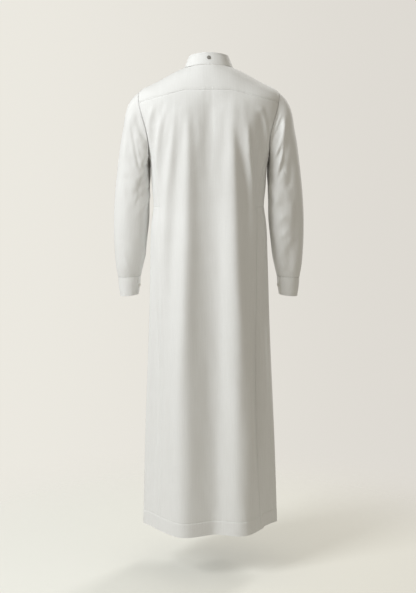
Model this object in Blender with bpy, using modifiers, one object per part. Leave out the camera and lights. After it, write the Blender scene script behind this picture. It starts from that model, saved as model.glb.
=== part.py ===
"""Ankle-length thobe robe in its worn shape, made from the pieces it is cut and sewn from.

Sizes in the tables are in millimetres; the meshes are in metres.
+Z is up, the front faces -Y, and the wearer's left is +X.  The origin is the middle of the
neck opening, level with the neck point of the shoulder.

The body is one surface, body(angle, drop).  The angle runs round the wearer: 0 at centre back,
90 at the wearer's left side, 180 at centre front, and negative on the right.  The drop runs
down the cloth from the neck seam (0) to the hem.  Each panel is a patch of that surface, so
neighbouring panels share the points of their seam.
"""

import math
from collections import namedtuple

import bmesh
import bpy
import numpy as np
from mathutils import Matrix, Vector

MM = 0.001

# Driving sizes
CLOTH_WALL = 1.2  # shell panels
BAND_WALL = 2.0  # collar and cuffs, two layers of cloth with a stiffener between
PLACKET_WALL = 1.4
SEAM_GAP = 0.3
HEM_DROP = 1478.0
WAIST_SEAM_DROP = 447.0
FACE_TURN = 0.8  # degrees and millimetres either side of a point, for its normal

# Body sections.  z_* are the section's heights at centre back, side and centre front.
BodyRing = namedtuple(
    "BodyRing", "drop z_back z_side z_front half_width y_back y_front square x_middle"
)
BODY_RINGS = (
    BodyRing(0, 8, 0, -74, 75, 60, -78, 2.00, 0),  # neck seam
    BodyRing(38, -22, -18, -92, 114, 85, -92, 2.15, 0),
    BodyRing(82, -62, -48, -120, 170, 103, -106, 2.30, 0),
    BodyRing(125, -104, -74, -150, 216, 115, -117, 2.40, 0),  # shoulder points
    BodyRing(200, -179, -162, -196, 220, 125, -126, 2.40, 0),
    BodyRing(283, -262, -262, -262, 189, 126, -128, 2.30, 0),  # armpits
    BodyRing(345, -324, -324, -324, 180, 121, -126, 2.25, 0),
    BodyRing(400, -379, -379, -379, 176.5, 116, -122, 2.20, 0),
    BodyRing(447, -426, -426, -426, 173, 113, -120, 2.20, 0),  # waist seam
    BodyRing(490, -469, -469, -469, 179, 113, -121, 2.20, 0),
    BodyRing(560, -539, -539, -539, 184.5, 115, -123, 2.15, 0),
    BodyRing(700, -679, -679, -679, 190.5, 119, -127, 2.08, -1),
    BodyRing(900, -879, -879, -879, 199, 126, -134, 1.98, -1.5),
    BodyRing(1200, -1179, -1179, -1179, 212.5, 136, -145, 1.83, -3),
    BodyRing(HEM_DROP, -1457, -1457, -1457, 221.5, 146, -154, 1.70, -4.5),  # hem
)

# Hanging folds, each a soft ridge (out > 0) or trough (out < 0) running down the cloth.  x and
# out are given where the fold starts, at the waist, at the knee and at the hem.
FOLD_LEVELS = (125, 447, 1000, HEM_DROP)
Fold = namedtuple(
    "Fold",
    "x_top x_waist x_knee x_hem out_top out_waist out_knee out_hem wide_top wide_hem",
)
BACK_FOLDS = (
    Fold(61, 70, 80, 90, 1.0, 10, 22, 38, 16, 50),  # main fold, wearer's left
    Fold(-71, -78, -90, -105, 1.0, 11, 21, 33, 18, 42),  # main fold, wearer's right
    Fold(-4, -6, -10, -16, 0.0, -5, -17, -36, 26, 41),  # valley between them
    Fold(106, 140, 150, 160, 3.0, 5, 0, 0, 10, 20),
    Fold(144, 163, 170, 170, 3.5, 0, 0, 0, 9, 20),
    Fold(-122, -148, -150, -160, 4.0, 6, 0, 0, 10, 22),
    Fold(-166, -170, -170, -170, 3.5, 0, 0, 0, 8, 20),
    Fold(-180, -180, -188, -198, 0.0, 0, -4, -16, 20, 34),
)
FRONT_FOLDS = (
    Fold(84, 92, 104, 116, 1.0, 9, 20, 31, 18, 44),
    Fold(-76, -84, -98, -112, 1.0, 8, 19, 30, 18, 42),
    Fold(0, 4, 10, 14, 0.0, 2, 8, 14, 22, 38),
    Fold(48, 50, 58, 64, 0.0, -3, -9, -15, 18, 26),
    Fold(-42, -44, -44, -48, 0.0, -3, -10, -16, 18, 28),
    Fold(140, 150, 160, 160, 4.0, 4, 0, 0, 10, 22),
    Fold(-138, -150, -160, -160, 4.0, 4, 0, 0, 10, 22),
    Fold(185, 185, 190, 202, 0.0, 0, -4, -12, 20, 32),
)
FOLD_FADE_ANGLE = 0.28  # folds die out where the cosine of the angle is under this
PLEAT = namedtuple("Pleat", "half_width out full_drop end_drop")(14.5, -2.4, 130, 380)

# Armhole: an ellipse in angle and drop.  Clock angle 0 is its top, 90 its back, 180 the armpit.
ARMHOLE_ANGLE, ARMHOLE_HALF_ANGLE = 90.0, 27.5
ARMHOLE_DROP, ARMHOLE_HALF_DROP = 204.0, 79.0
YOKE_BACK_CLOCK = 45.0
GUSSET_BACK_CLOCK = 150.0
GUSSET_FRONT_CLOCK = 210.0
YOKE_FRONT_CLOCK = 338.0
YOKE_TOP_STEPS, BACK_ARM_STEPS, GUSSET_STEPS, FRONT_ARM_STEPS = 5, 7, 8, 8

# Seams
NECK_FRONT_ANGLE = 108.0  # where the forward shoulder seam meets the neck
SHOULDER_SEAM_STEPS = 5
YOKE_SEAM_Z = -69.5
YOKE_SEAM_FLAT = 74.0  # the yoke seam is level to this far from centre back, then drops
YOKE_HALF_STEPS = 13
GUSSET_ROWS, SKIRT_ROWS = 4, 12
SeamPoint = namedtuple("SeamPoint", "drop x")
SIDE_SEAM_BACK = (
    SeamPoint(WAIST_SEAM_DROP, 151),
    SeamPoint(757, 156),
    SeamPoint(1026, 162),
    SeamPoint(HEM_DROP, 166),
)
SIDE_SEAM_FRONT = (
    SeamPoint(WAIST_SEAM_DROP, 150),
    SeamPoint(757, 154),
    SeamPoint(1026, 160),
    SeamPoint(HEM_DROP, 166),
)

# Front opening
PLACKET_HALF_WIDTH = 16.0
PLACKET_TOP_CLEARANCE = 3.0
SLIT_ROWS = 15  # rows of the front panel that the neck slit and its placket run down
SLIT_HALF_GAP = 0.3
FRONT_SIDE_STEPS = 11  # columns from the placket's edge to the side

# Collar: top edge sizes; its foot is the neck seam.
COLLAR_TOP = namedtuple("CollarTop", "z_back z_side z_front half_width y_back y_front")(
    45, 37, -38, 60, 47, -68
)
COLLAR_LAP_ANGLE, COLLAR_STEPS, COLLAR_ROWS = 7.0, 38, 3

# Sleeve sections, each given by its outer and inner edge seen from behind.
SleeveRing = namedtuple(
    "SleeveRing", "along outer_x outer_z inner_x inner_z half_depth y_middle"
)
SLEEVE_RINGS = (
    SleeveRing(0, 216, -74, 189, -262, 62.5, 0),  # armhole
    SleeveRing(25, 240, -98, 189.5, -276, 64, 0),
    SleeveRing(55, 257, -134, 189.5, -290, 65, 0),
    SleeveRing(90, 265, -176, 189, -308, 65, -1),
    SleeveRing(130, 274, -224, 188, -330, 64, -2),
    SleeveRing(175, 281.5, -275, 187, -355, 62.5, -4),
    SleeveRing(225, 289, -334, 186, -385, 61, -7),
    SleeveRing(280, 296, -399, 187.5, -424, 59, -11),
    SleeveRing(335, 300, -462, 189, -472, 57, -16),
    SleeveRing(395, 300.5, -524, 195, -524, 54, -21),
    SleeveRing(455, 299, -584, 201, -580, 50, -27),
    SleeveRing(505, 294.5, -634, 212, -629, 43.5, -32),
    SleeveRing(527, 290.5, -654, 217.5, -650, 38, -34),  # cuff seam
)
SLEEVE_ROWS = 15
ARMHOLE_BLEND = 120.0  # the sleeve takes the armhole's exact outline over this length

# Drag folds on a sleeve, from one place (along the sleeve, clock angle) to another.
SleeveFold = namedtuple("SleeveFold", "along_1 clock_1 along_2 clock_2 out wide")
SLEEVE_FOLDS = {
    "left": (
        SleeveFold(40, 62, 150, 128, -4.0, 13),
        SleeveFold(150, 150, 265, 100, -4.0, 14),
        SleeveFold(205, 165, 330, 112, 4.0, 14),
        SleeveFold(60, 300, 170, 232, -4.0, 14),
        SleeveFold(380, 120, 470, 160, 3.0, 14),
    ),
    "right": (
        SleeveFold(30, 70, 160, 118, 4.5, 12),
        SleeveFold(55, 52, 190, 118, -4.0, 12),
        SleeveFold(170, 160, 290, 110, 4.0, 15),
        SleeveFold(70, 298, 180, 235, -4.0, 14),
        SleeveFold(380, 70, 480, 130, 3.5, 15),
    ),
}

# Cuffs, given like a sleeve section, at the seam and at the open end.
CUFF_RINGS = (
    SleeveRing(0, 290.5, -654, 217.5, -650, 38, -34),
    SleeveRing(62, 284.5, -716, 224.5, -710, 36, -38.5),
)
CUFF_LAP_END, CUFF_LAP = 141.0, 32.0  # clock angle of the upper end, and the overlap
CUFF_BULGE = 0.8  # a stiffened band stands out a little between its edges
CUFF_STEPS, CUFF_ROWS = 34, 3

# Buttons
Button = namedtuple("Button", "diameter thick")
SHIRT_BUTTON = Button(11.5, 2.4)
BACK_STUD = Button(12.0, 1.6)
BUTTON_SIDES = 20
PLACKET_BUTTON_DROPS = (48, 122, 196, 270)

WHITE_CLOTH = (0.86, 0.86, 0.84, 1.0)
WHITE_BUTTON = (0.82, 0.81, 0.78, 1.0)
GREY_STUD = (0.12, 0.12, 0.13, 1.0)


# ---------------------------------------------------------------- surfaces


def spline(knots, rows):
    """A natural cubic spline through rows, as a function that takes one place or many."""
    knots = np.asarray(knots, float)
    rows = np.asarray(rows, float)
    if rows.ndim == 1:
        rows = rows[:, None]
    count = len(knots)
    step = np.diff(knots)
    matrix = np.eye(count)
    pull = np.zeros_like(rows)
    for i in range(1, count - 1):
        matrix[i, i - 1] = step[i - 1]
        matrix[i, i] = 2 * (step[i - 1] + step[i])
        matrix[i, i + 1] = step[i]
        after = (rows[i + 1] - rows[i]) / step[i]
        before = (rows[i] - rows[i - 1]) / step[i - 1]
        pull[i] = 6 * (after - before)
    bend = np.linalg.solve(matrix, pull)

    def at(place):
        place = np.asarray(place, float)
        i = np.clip(np.searchsorted(knots, place) - 1, 0, count - 2)
        width = step[i][..., None]
        b = (place - knots[i])[..., None] / width
        a = 1 - b
        cubic = ((a**3 - a) * bend[i] + (b**3 - b) * bend[i + 1]) * width**2 / 6
        return a * rows[i] + b * rows[i + 1] + cubic

    return at


def smooth_step(value):
    value = np.clip(value, 0, 1)
    return value * value * (3 - 2 * value)


def fold_splines(folds):
    """For each fold, splines over the drop of its x, its height and its width."""
    found = []
    for fold in folds:
        x_at = spline(FOLD_LEVELS, fold[0:4])
        out_at = spline(FOLD_LEVELS, fold[4:8])
        found.append((x_at, out_at, fold.wide_top, fold.wide_hem))
    return found


BODY_AT = spline([ring.drop for ring in BODY_RINGS], [ring[1:] for ring in BODY_RINGS])
BACK_FOLDS_AT = fold_splines(BACK_FOLDS)
FRONT_FOLDS_AT = fold_splines(FRONT_FOLDS)


def fold_height(folds_at, x, drop):
    """How far the hanging folds stand out of the section at x."""
    levels = np.clip(drop, FOLD_LEVELS[0], FOLD_LEVELS[-1])
    down = (levels - FOLD_LEVELS[0]) / (FOLD_LEVELS[-1] - FOLD_LEVELS[0])
    total = np.zeros_like(x)
    for x_at, out_at, wide_top, wide_hem in folds_at:
        wide = wide_top + (wide_hem - wide_top) * down**0.8
        offset = (x - x_at(levels)[..., 0]) / wide
        total = total + out_at(levels)[..., 0] * np.exp(-offset * offset)
    starts = smooth_step((drop - 85) / 70)
    return total * starts


def pleat_height(x, drop):
    """The inverted box pleat under the yoke, a shallow channel that eases out down the back."""
    edge = smooth_step((PLEAT.half_width + 3 - np.abs(x)) / 6)
    opens = smooth_step((drop - 88) / 12)
    eases = smooth_step((PLEAT.end_drop - drop) / (PLEAT.end_drop - PLEAT.full_drop))
    return PLEAT.out * edge * opens * eases


def body(angle, drop):
    """Points of the body surface (mm).  Angles are in degrees."""
    angle, drop = np.broadcast_arrays(np.asarray(angle, float), np.asarray(drop, float))
    columns = BODY_AT(drop)
    z_back, z_side, z_front, half_width, y_back, y_front, square, x_middle = np.moveaxis(
        columns, -1, 0
    )
    turn = np.radians(angle)
    sine, cosine = np.sin(turn), np.cos(turn)
    at_back = cosine >= 0
    depth = np.where(at_back, y_back, -y_front)
    across = np.abs(sine) ** (2 / square)
    deep = np.abs(cosine) ** (2 / square)
    x = half_width * np.sign(sine) * across
    y = depth * np.sign(cosine) * deep
    z = z_side + (np.where(at_back, z_back, z_front) - z_side) * cosine**2
    normal_x = np.sign(sine) * across ** (square - 1) / half_width
    normal_y = np.sign(cosine) * deep ** (square - 1) / depth
    length = np.hypot(normal_x, normal_y)
    push = np.where(
        at_back,
        fold_height(BACK_FOLDS_AT, x, drop) + pleat_height(x, drop),
        fold_height(FRONT_FOLDS_AT, x, drop),
    )
    push = push * smooth_step(np.abs(cosine) / FOLD_FADE_ANGLE)
    x = x_middle + x + push * normal_x / length
    return np.stack((x, y + push * normal_y / length, z), axis=-1)


def body_normal(angle, drop):
    """Outward unit normals of the body surface."""
    angle, drop = np.broadcast_arrays(np.asarray(angle, float), np.asarray(drop, float))
    round_it = body(angle + FACE_TURN, drop) - body(angle - FACE_TURN, drop)
    above = np.maximum(drop - 4 * FACE_TURN, 0)
    below = np.minimum(drop + 4 * FACE_TURN, HEM_DROP)
    down_it = body(angle, below) - body(angle, above)
    normal = np.cross(round_it, down_it)
    return normal / np.linalg.norm(normal, axis=-1, keepdims=True)


def angle_at(x, drop, front=False):
    """The angle of the body surface, before folds, where its x is this far out."""
    columns = BODY_AT(drop)
    half_width, square = columns[..., 3], columns[..., 6]
    share = np.clip(np.abs(x) / half_width, 0, 1)
    angle = np.degrees(np.arcsin(share ** (square / 2)))
    return np.sign(x) * np.where(front, 180 - angle, angle)


def armhole(clock):
    """(angle, drop) of places round the left armhole."""
    turn = np.radians(clock)
    angle = ARMHOLE_ANGLE - ARMHOLE_HALF_ANGLE * np.sin(turn)
    return np.stack((angle, ARMHOLE_DROP - ARMHOLE_HALF_DROP * np.cos(turn)), axis=-1)


def line(start, end, steps):
    """steps + 1 places from start to end."""
    start, end = np.asarray(start, float), np.asarray(end, float)
    share = np.linspace(0, 1, steps + 1)
    return start + (end - start) * (share[:, None] if start.ndim else share)


# ---------------------------------------------------------------- seams, as (angle, drop)


def yoke_seam_drop(x):
    """Drop of the back yoke seam this far from centre back, from its height."""
    end_angle, end_drop = armhole(YOKE_BACK_CLOCK)
    end = body(end_angle, end_drop)
    slope = (end[2] - YOKE_SEAM_Z) / (end[0] - YOKE_SEAM_FLAT)
    height = YOKE_SEAM_Z + slope * max(abs(x) - YOKE_SEAM_FLAT, 0)
    low, high = 40.0, 200.0
    for _ in range(40):
        middle = (low + high) / 2
        if body(angle_at(x, middle), middle)[2] > height:
            low = middle
        else:
            high = middle
    return middle


def yoke_seam():
    """The left half of the back yoke seam, from centre back to the armhole."""
    end = armhole(YOKE_BACK_CLOCK)
    end_x = body(*end)[0]
    found = []
    for x in line(0.0, end_x, YOKE_HALF_STEPS)[:-1]:
        drop = yoke_seam_drop(x)
        found.append((float(angle_at(x, drop)), drop))
    return np.array([*found, tuple(end)])


def side_seam(points, front):
    """The left side seam from the waist seam to the hem, with one point for each skirt row."""
    x_at = spline([point.drop for point in points], [point.x for point in points])
    drops = line(WAIST_SEAM_DROP, HEM_DROP, SKIRT_ROWS)
    return np.stack((angle_at(x_at(drops)[:, 0], drops, front), drops), axis=-1)


def gusset_seam(clock, waist_point):
    """The left seam between gusset and panel, from the armhole to the waist seam."""
    start = armhole(clock)
    share = np.linspace(0, 1, GUSSET_ROWS + 1)
    drops = start[1] + (waist_point[1] - start[1]) * share
    turned = 1 - (1 - share) ** 2
    angles = start[0] + (waist_point[0] - start[0]) * turned
    return np.stack((angles, drops), axis=-1)


YOKE_SEAM = yoke_seam()
ARM_YOKE = armhole(line(YOKE_BACK_CLOCK, YOKE_FRONT_CLOCK - 360, YOKE_TOP_STEPS))
ARM_BACK = armhole(line(YOKE_BACK_CLOCK, GUSSET_BACK_CLOCK, BACK_ARM_STEPS))
ARM_GUSSET = armhole(line(GUSSET_BACK_CLOCK, GUSSET_FRONT_CLOCK, GUSSET_STEPS))
ARM_FRONT = armhole(line(YOKE_FRONT_CLOCK, GUSSET_FRONT_CLOCK, FRONT_ARM_STEPS))
SHOULDER_SEAM = line(
    (NECK_FRONT_ANGLE, 0), armhole(YOKE_FRONT_CLOCK), SHOULDER_SEAM_STEPS
)
SIDE_BACK = side_seam(SIDE_SEAM_BACK, False)
SIDE_FRONT = side_seam(SIDE_SEAM_FRONT, True)
GUSSET_BACK = gusset_seam(GUSSET_BACK_CLOCK, SIDE_BACK[0])
GUSSET_FRONT = gusset_seam(GUSSET_FRONT_CLOCK, SIDE_FRONT[0])
WAIST_SEAM = line(SIDE_BACK[0], SIDE_FRONT[0], GUSSET_STEPS)


def mirrored(places):
    """The same places on the wearer's right."""
    return places * np.array((-1.0, 1.0))


# ---------------------------------------------------------------- panel grids, as (angle, drop)


def back_panel_grid():
    """Rows down the back, each from the right edge to the left."""
    edge = np.concatenate((ARM_BACK, GUSSET_BACK[1:], SIDE_BACK[1:]))
    top = np.concatenate((mirrored(YOKE_SEAM)[:0:-1], YOKE_SEAM))
    share = np.linspace(-1, 1, len(top))
    rows = [top]
    fade_rows = BACK_ARM_STEPS + 2
    for row in range(1, len(edge)):
        edge_angle, edge_drop = edge[row]
        edge_x = body(edge_angle, edge_drop)[0]
        kept = 1 - smooth_step(row / fade_rows)
        drops = edge_drop + (top[:, 1] - top[0, 1]) * kept
        angles = angle_at(edge_x * share, drops)
        angles[0], angles[-1] = -edge_angle, edge_angle
        rows.append(np.stack((angles, drops), axis=-1))
    return np.array(rows)


def yoke_grid():
    """Rows from the neck seam to the outer edge, each from the right front to the left."""
    half_outer = np.concatenate((YOKE_SEAM, ARM_YOKE[1:]))
    outer = np.concatenate((mirrored(half_outer)[:0:-1], half_outer))
    count = len(half_outer) - 1
    share = np.linspace(0, 1, count + 1)
    half_neck = NECK_FRONT_ANGLE * (0.75 * share + 0.25 * half_outer[:, 0] / half_outer[-1, 0])
    neck_angles = np.concatenate((-half_neck[:0:-1], half_neck))
    neck = np.stack((neck_angles, np.zeros_like(neck_angles)), axis=-1)
    rows = [
        neck + (outer - neck) * step / SHOULDER_SEAM_STEPS
        for step in range(SHOULDER_SEAM_STEPS + 1)
    ]
    return np.array(rows)


def front_columns(edge_x):
    """x of the front panel's columns on one row, from centre front to one side."""
    inner = line(0.0, PLACKET_HALF_WIDTH, 2)
    outer = line(PLACKET_HALF_WIDTH, edge_x, FRONT_SIDE_STEPS)
    return np.concatenate((inner, outer[1:]))


def front_panel_grid():
    """Rows down the front, each from the left edge to the right."""
    edge = np.concatenate(
        (SHOULDER_SEAM, ARM_FRONT[1:], GUSSET_FRONT[1:], SIDE_FRONT[1:])
    )
    rows = []
    for edge_angle, edge_drop in edge:
        edge_x = body(edge_angle, edge_drop)[0]
        half = front_columns(edge_x)
        drops = np.full(len(half), edge_drop)
        angles = angle_at(half, drops, front=True)
        angles[0], angles[-1] = 180, edge_angle
        left = np.stack((angles, drops), axis=-1)[::-1]
        right = np.stack((360 - angles, drops), axis=-1)[1:]
        rows.append(np.concatenate((left, right)))
    return np.array(rows)


def between(first, second, top, bottom):
    """A patch between two side edges that takes the exact points of its top and bottom."""
    rows = len(first)
    share_down = np.linspace(0, 1, rows)[:, None, None]
    share_across = np.linspace(0, 1, len(top))[None, :, None]
    sides = first[:, None] * (1 - share_across) + second[:, None] * share_across
    ends = top[None] * (1 - share_down) + bottom[None] * share_down
    corners = (
        (top[0] * (1 - share_across) + top[-1] * share_across) * (1 - share_down)
        + (bottom[0] * (1 - share_across) + bottom[-1] * share_across) * share_down
    )
    return sides + ends - corners


# ---------------------------------------------------------------- meshes


def pulled_in(points, gap, edges):
    """Points with the named edges moved towards their neighbours inside by gap."""
    points = points.copy()
    pairs = {
        "top": ((0,), (1,)),
        "bottom": ((-1,), (-2,)),
        "start": ((slice(None), 0), (slice(None), 1)),
        "end": ((slice(None), -1), (slice(None), -2)),
    }
    for edge in edges:
        outer, inner = pairs[edge]
        inward = points[inner] - points[outer]
        inward /= np.linalg.norm(inward, axis=-1, keepdims=True)
        points[outer] += inward * gap
    return points


def wall_mesh(outer, inner, closed=False, slit_rows=0):
    """A closed wall between two grids of points (mm).

    closed joins the last column to the first.  slit_rows opens the middle column over that
    many rows from the top.
    """
    rows, columns = outer.shape[:2]
    middle = columns // 2
    points = []
    index = {}

    def corner(row, column, side, layer):
        if closed:
            column %= columns
        split = side if column == middle and row < slit_rows else 0
        key = (row, column, split, layer)
        if key not in index:
            point = (outer if layer == 0 else inner)[row, column].copy()
            if split:
                toward = outer[row, middle + split] - outer[row, middle]
                point += toward / np.linalg.norm(toward) * SLIT_HALF_GAP
            index[key] = len(points)
            points.append(Vector(point * MM))
        return index[key]

    faces = []
    for row in range(rows - 1):
        for column in range(columns if closed else columns - 1):
            side = -1 if column < middle else 1
            ring = [(row, column), (row + 1, column), (row + 1, column + 1), (row, column + 1)]
            front = [corner(r, c, side, 0) for r, c in ring]
            back = [corner(r, c, side, 1) for r, c in ring]
            faces.append((front, back))
    edge_count = {}
    for front, _ in faces:
        for a, b in zip(front, front[1:] + front[:1]):
            edge_count[frozenset((a, b))] = edge_count.get(frozenset((a, b)), 0) + 1
    polygons = []
    for front, back in faces:
        polygons.append(front)
        polygons.append(back[::-1])
        for k in range(4):
            a, b = front[k], front[(k + 1) % 4]
            if edge_count[frozenset((a, b))] == 1:
                polygons.append([b, a, back[k], back[(k + 1) % 4]])
    mesh = bpy.data.meshes.new("wall")
    mesh.from_pydata(points, [], polygons)
    shape = bmesh.new()
    shape.from_mesh(mesh)
    bmesh.ops.recalc_face_normals(shape, faces=shape.faces)
    shape.to_mesh(mesh)
    shape.free()
    mesh.shade_smooth()
    mesh.set_sharp_from_angle(angle=math.radians(50))
    return mesh


def finish(name, colour, roughness):
    material = bpy.data.materials.new(name)
    material.use_nodes = True
    shader = material.node_tree.nodes["Principled BSDF"]
    shader.inputs["Base Color"].default_value = colour
    shader.inputs["Roughness"].default_value = roughness
    return material


def add(collection, name, mesh, material):
    """Put a mesh in the garment as its own object, with its own material."""
    mesh.name = name
    mesh.materials.clear()
    mesh.materials.append(material)
    piece = bpy.data.objects.new(name, mesh)
    collection.objects.link(piece)
    return piece


def panel_mesh(grid, edges, **options):
    """A cloth panel from its grid of (angle, drop)."""
    angle, drop = grid[..., 0], grid[..., 1]
    normal = body_normal(angle, drop)
    outer = pulled_in(body(angle, drop), SEAM_GAP / 2, edges)
    return wall_mesh(outer, outer - normal * CLOTH_WALL, **options)


# ---------------------------------------------------------------- sleeves and bands


def ring_points(ring, clock):
    """Points round a sleeve section (mm), for the columns outer_x ... y_middle."""
    outer_x, outer_z, inner_x, inner_z, half_depth, y_middle = np.moveaxis(
        np.asarray(ring), -1, 0
    )
    turn = np.radians(clock)
    share = np.cos(turn)
    x = (outer_x + inner_x) / 2 + (outer_x - inner_x) / 2 * share
    z = (outer_z + inner_z) / 2 + (outer_z - inner_z) / 2 * share
    return np.stack((x, y_middle + half_depth * np.sin(turn), z), axis=-1)


SLEEVE_AT = spline([ring.along for ring in SLEEVE_RINGS], [ring[1:] for ring in SLEEVE_RINGS])


def sleeve_surface(clock, along, folds):
    """Points of the left-hand form of a sleeve (mm)."""
    clock, along = np.broadcast_arrays(np.asarray(clock, float), np.asarray(along, float))
    ring = SLEEVE_AT(along)
    points = ring_points(ring, clock)
    seam = armhole(clock)
    away = body(seam[..., 0], seam[..., 1]) - ring_points(SLEEVE_AT(0.0), clock)
    keep = 1 - smooth_step(along / ARMHOLE_BLEND)
    points = points + away * keep[..., None]
    middle = points.copy()
    middle[..., 0] = (ring[..., 0] + ring[..., 2]) / 2
    middle[..., 1] = ring[..., 5]
    middle[..., 2] = (ring[..., 1] + ring[..., 3]) / 2
    outward = points - middle
    radius = np.linalg.norm(outward, axis=-1)
    push = np.zeros_like(along)
    for fold in folds:
        wrapped = (clock - fold.clock_1 + 180) % 360 - 180
        run = np.stack((along - fold.along_1, np.radians(wrapped) * radius), axis=-1)
        whole = np.array(
            (
                fold.along_2 - fold.along_1,
                math.radians(fold.clock_2 - fold.clock_1) * 58,
            )
        )
        length = np.linalg.norm(whole)
        share = (run @ whole) / length**2
        miss = (run[..., 0] * whole[1] - run[..., 1] * whole[0]) / length
        ends = np.exp(-np.maximum(np.abs(share - 0.5) - 0.3, 0) ** 2 * 30)
        push = push + fold.out * np.exp(-((miss / fold.wide) ** 2)) * ends
    push = push * smooth_step(along / 40) * smooth_step((SLEEVE_RINGS[-1].along - along) / 40)
    return points + outward / radius[..., None] * push[..., None]


def grid_normal(points):
    """Unit normals of a grid that closes round its columns, pointing out of the tube."""
    round_it = np.roll(points, -1, axis=1) - np.roll(points, 1, axis=1)
    down_it = np.gradient(points, axis=0)
    normal = np.cross(round_it, down_it)
    centre = points.mean(axis=1, keepdims=True)
    outwards = np.sum(normal * (points - centre), axis=-1)
    normal *= np.sign(np.median(outwards))
    return normal / np.linalg.norm(normal, axis=-1, keepdims=True)


def sleeve_mesh(folds):
    """The left-hand form of a sleeve."""
    clocks = np.concatenate(
        (
            line(YOKE_BACK_CLOCK, GUSSET_BACK_CLOCK, BACK_ARM_STEPS)[:-1],
            line(GUSSET_BACK_CLOCK, GUSSET_FRONT_CLOCK, GUSSET_STEPS)[:-1],
            line(GUSSET_FRONT_CLOCK, YOKE_FRONT_CLOCK, FRONT_ARM_STEPS)[:-1],
            line(YOKE_FRONT_CLOCK, YOKE_BACK_CLOCK + 360, YOKE_TOP_STEPS)[:-1],
        )
    )
    end = SLEEVE_RINGS[-1].along
    share = np.linspace(0, 1, SLEEVE_ROWS + 1)
    alongs = end * (0.75 * share + 0.25 * share**2)
    points = sleeve_surface(clocks[None], alongs[:, None], folds)
    normal = grid_normal(points)
    seam = armhole(clocks)
    body_side = body_normal(seam[:, 0], seam[:, 1])
    same_way = smooth_step(np.sum(body_side * normal[0], axis=-1) / 0.6)[:, None]
    shared = normal[0] * (1 - same_way) + body_side * same_way
    normal[0] = shared / np.linalg.norm(shared, axis=-1, keepdims=True)
    outer = pulled_in(points, SEAM_GAP, ("top",))
    outer = pulled_in(outer, SEAM_GAP / 2, ("bottom",))
    return wall_mesh(outer, outer - normal * CLOTH_WALL, closed=True)


def lapped(places, lap, start_full, end_full):
    """Outward shift of a band's two ends, so that the upper end passes over the under one."""
    shift = (BAND_WALL + SEAM_GAP) / 2
    under = smooth_step((places - (start_full - lap)) / lap)
    over = smooth_step(((end_full + lap) - places) / lap)
    return shift * (over - under)


def cuff_points(places, share, out):
    """Points of the left-hand cuff (mm) at clock places, out of its middle surface by out."""
    first, last = (np.array(ring[1:]) for ring in CUFF_RINGS)
    ring = first + (last - first) * share
    points = ring_points(np.broadcast_to(ring, places.shape + ring.shape), places)
    turn = np.radians(places)
    outward = np.stack((np.cos(turn), np.sin(turn), np.zeros_like(turn)), axis=-1)
    out = np.asarray(out) + CUFF_BULGE * math.sin(math.pi * share)
    return points + outward * out[..., None]


def cuff_mesh():
    """A left-hand cuff: a band that laps over its own end on the side towards the body."""
    start = CUFF_LAP_END + CUFF_LAP
    end = CUFF_LAP_END - 360
    places = line(start, end, CUFF_STEPS)
    shift = lapped(places, CUFF_LAP, start, end)
    shares = np.linspace(0, 1, CUFF_ROWS + 1)
    outer = np.array([cuff_points(places, share, shift) for share in shares])
    inner = np.array([cuff_points(places, share, shift - BAND_WALL) for share in shares])
    outer = pulled_in(outer, SEAM_GAP / 2, ("top",))
    inner = pulled_in(inner, SEAM_GAP / 2, ("top",))
    return wall_mesh(outer, inner)


def collar_points(angles, share, out):
    """Points of the collar (mm); share is 0 at the neck seam and 1 at the top edge."""
    foot = body(angles, np.zeros_like(angles))
    turn = np.radians(angles)
    sine, cosine = np.sin(turn), np.cos(turn)
    z_end = np.where(cosine >= 0, COLLAR_TOP.z_back, COLLAR_TOP.z_front)
    y_end = np.where(cosine >= 0, COLLAR_TOP.y_back, -COLLAR_TOP.y_front)
    top = np.stack(
        (
            COLLAR_TOP.half_width * sine,
            y_end * cosine,
            COLLAR_TOP.z_side + (z_end - COLLAR_TOP.z_side) * cosine**2,
        ),
        axis=-1,
    )
    outward = np.stack((sine, cosine, np.full_like(sine, 0.3)), axis=-1)
    outward /= np.linalg.norm(outward, axis=-1, keepdims=True)
    return foot + (top - foot) * share + outward * np.asarray(out)[..., None]


def collar_mesh():
    """The stand collar, lapped left over right at centre front."""
    end = 180 + COLLAR_LAP_ANGLE
    angles = line(-end, end, COLLAR_STEPS)
    lap = 2 * COLLAR_LAP_ANGLE
    shift = lapped(-angles, lap, end, -end)
    shares = np.linspace(0, 1, COLLAR_ROWS + 1)
    outer = np.array([collar_points(angles, share, shift) for share in shares])
    inner = np.array([collar_points(angles, share, shift - BAND_WALL) for share in shares])
    lift = np.array((0, 0, SEAM_GAP))
    return wall_mesh(outer + lift, inner + lift)


def placket_mesh(grid):
    """The strip over the neck slit, made from the front panel's own middle columns."""
    middle = grid.shape[1] // 2
    strip = grid[: SLIT_ROWS + 1, middle - 2 : middle + 3]
    angle, drop = strip[..., 0], strip[..., 1]
    normal = body_normal(angle, drop)
    surface = pulled_in(body(angle, drop), PLACKET_TOP_CLEARANCE, ("top",))
    under = surface + normal * SEAM_GAP
    return wall_mesh(under + normal * PLACKET_WALL, under)


def button_object(collection, name, size, material, centre, outward):
    """A round button lying on the cloth at centre (mm), facing outward."""
    bpy.ops.mesh.primitive_cylinder_add(
        vertices=BUTTON_SIDES, radius=size.diameter / 2 * MM, depth=size.thick * MM
    )
    button = bpy.context.object
    button.name = name
    button.data.name = name
    outward = Vector(outward).normalized()
    place = Vector(centre) * MM + outward * (size.thick / 2 + SEAM_GAP) * MM
    turn = outward.to_track_quat("Z", "Y").to_matrix().to_4x4()
    button.matrix_world = Matrix.Translation(place) @ turn
    rim = button.modifiers.new("rim", "BEVEL")
    rim.width = 0.25 * size.thick * MM
    rim.segments = 2
    button.data.materials.append(material)
    for holder in button.users_collection:
        holder.objects.unlink(button)
    collection.objects.link(button)
    return button


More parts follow.
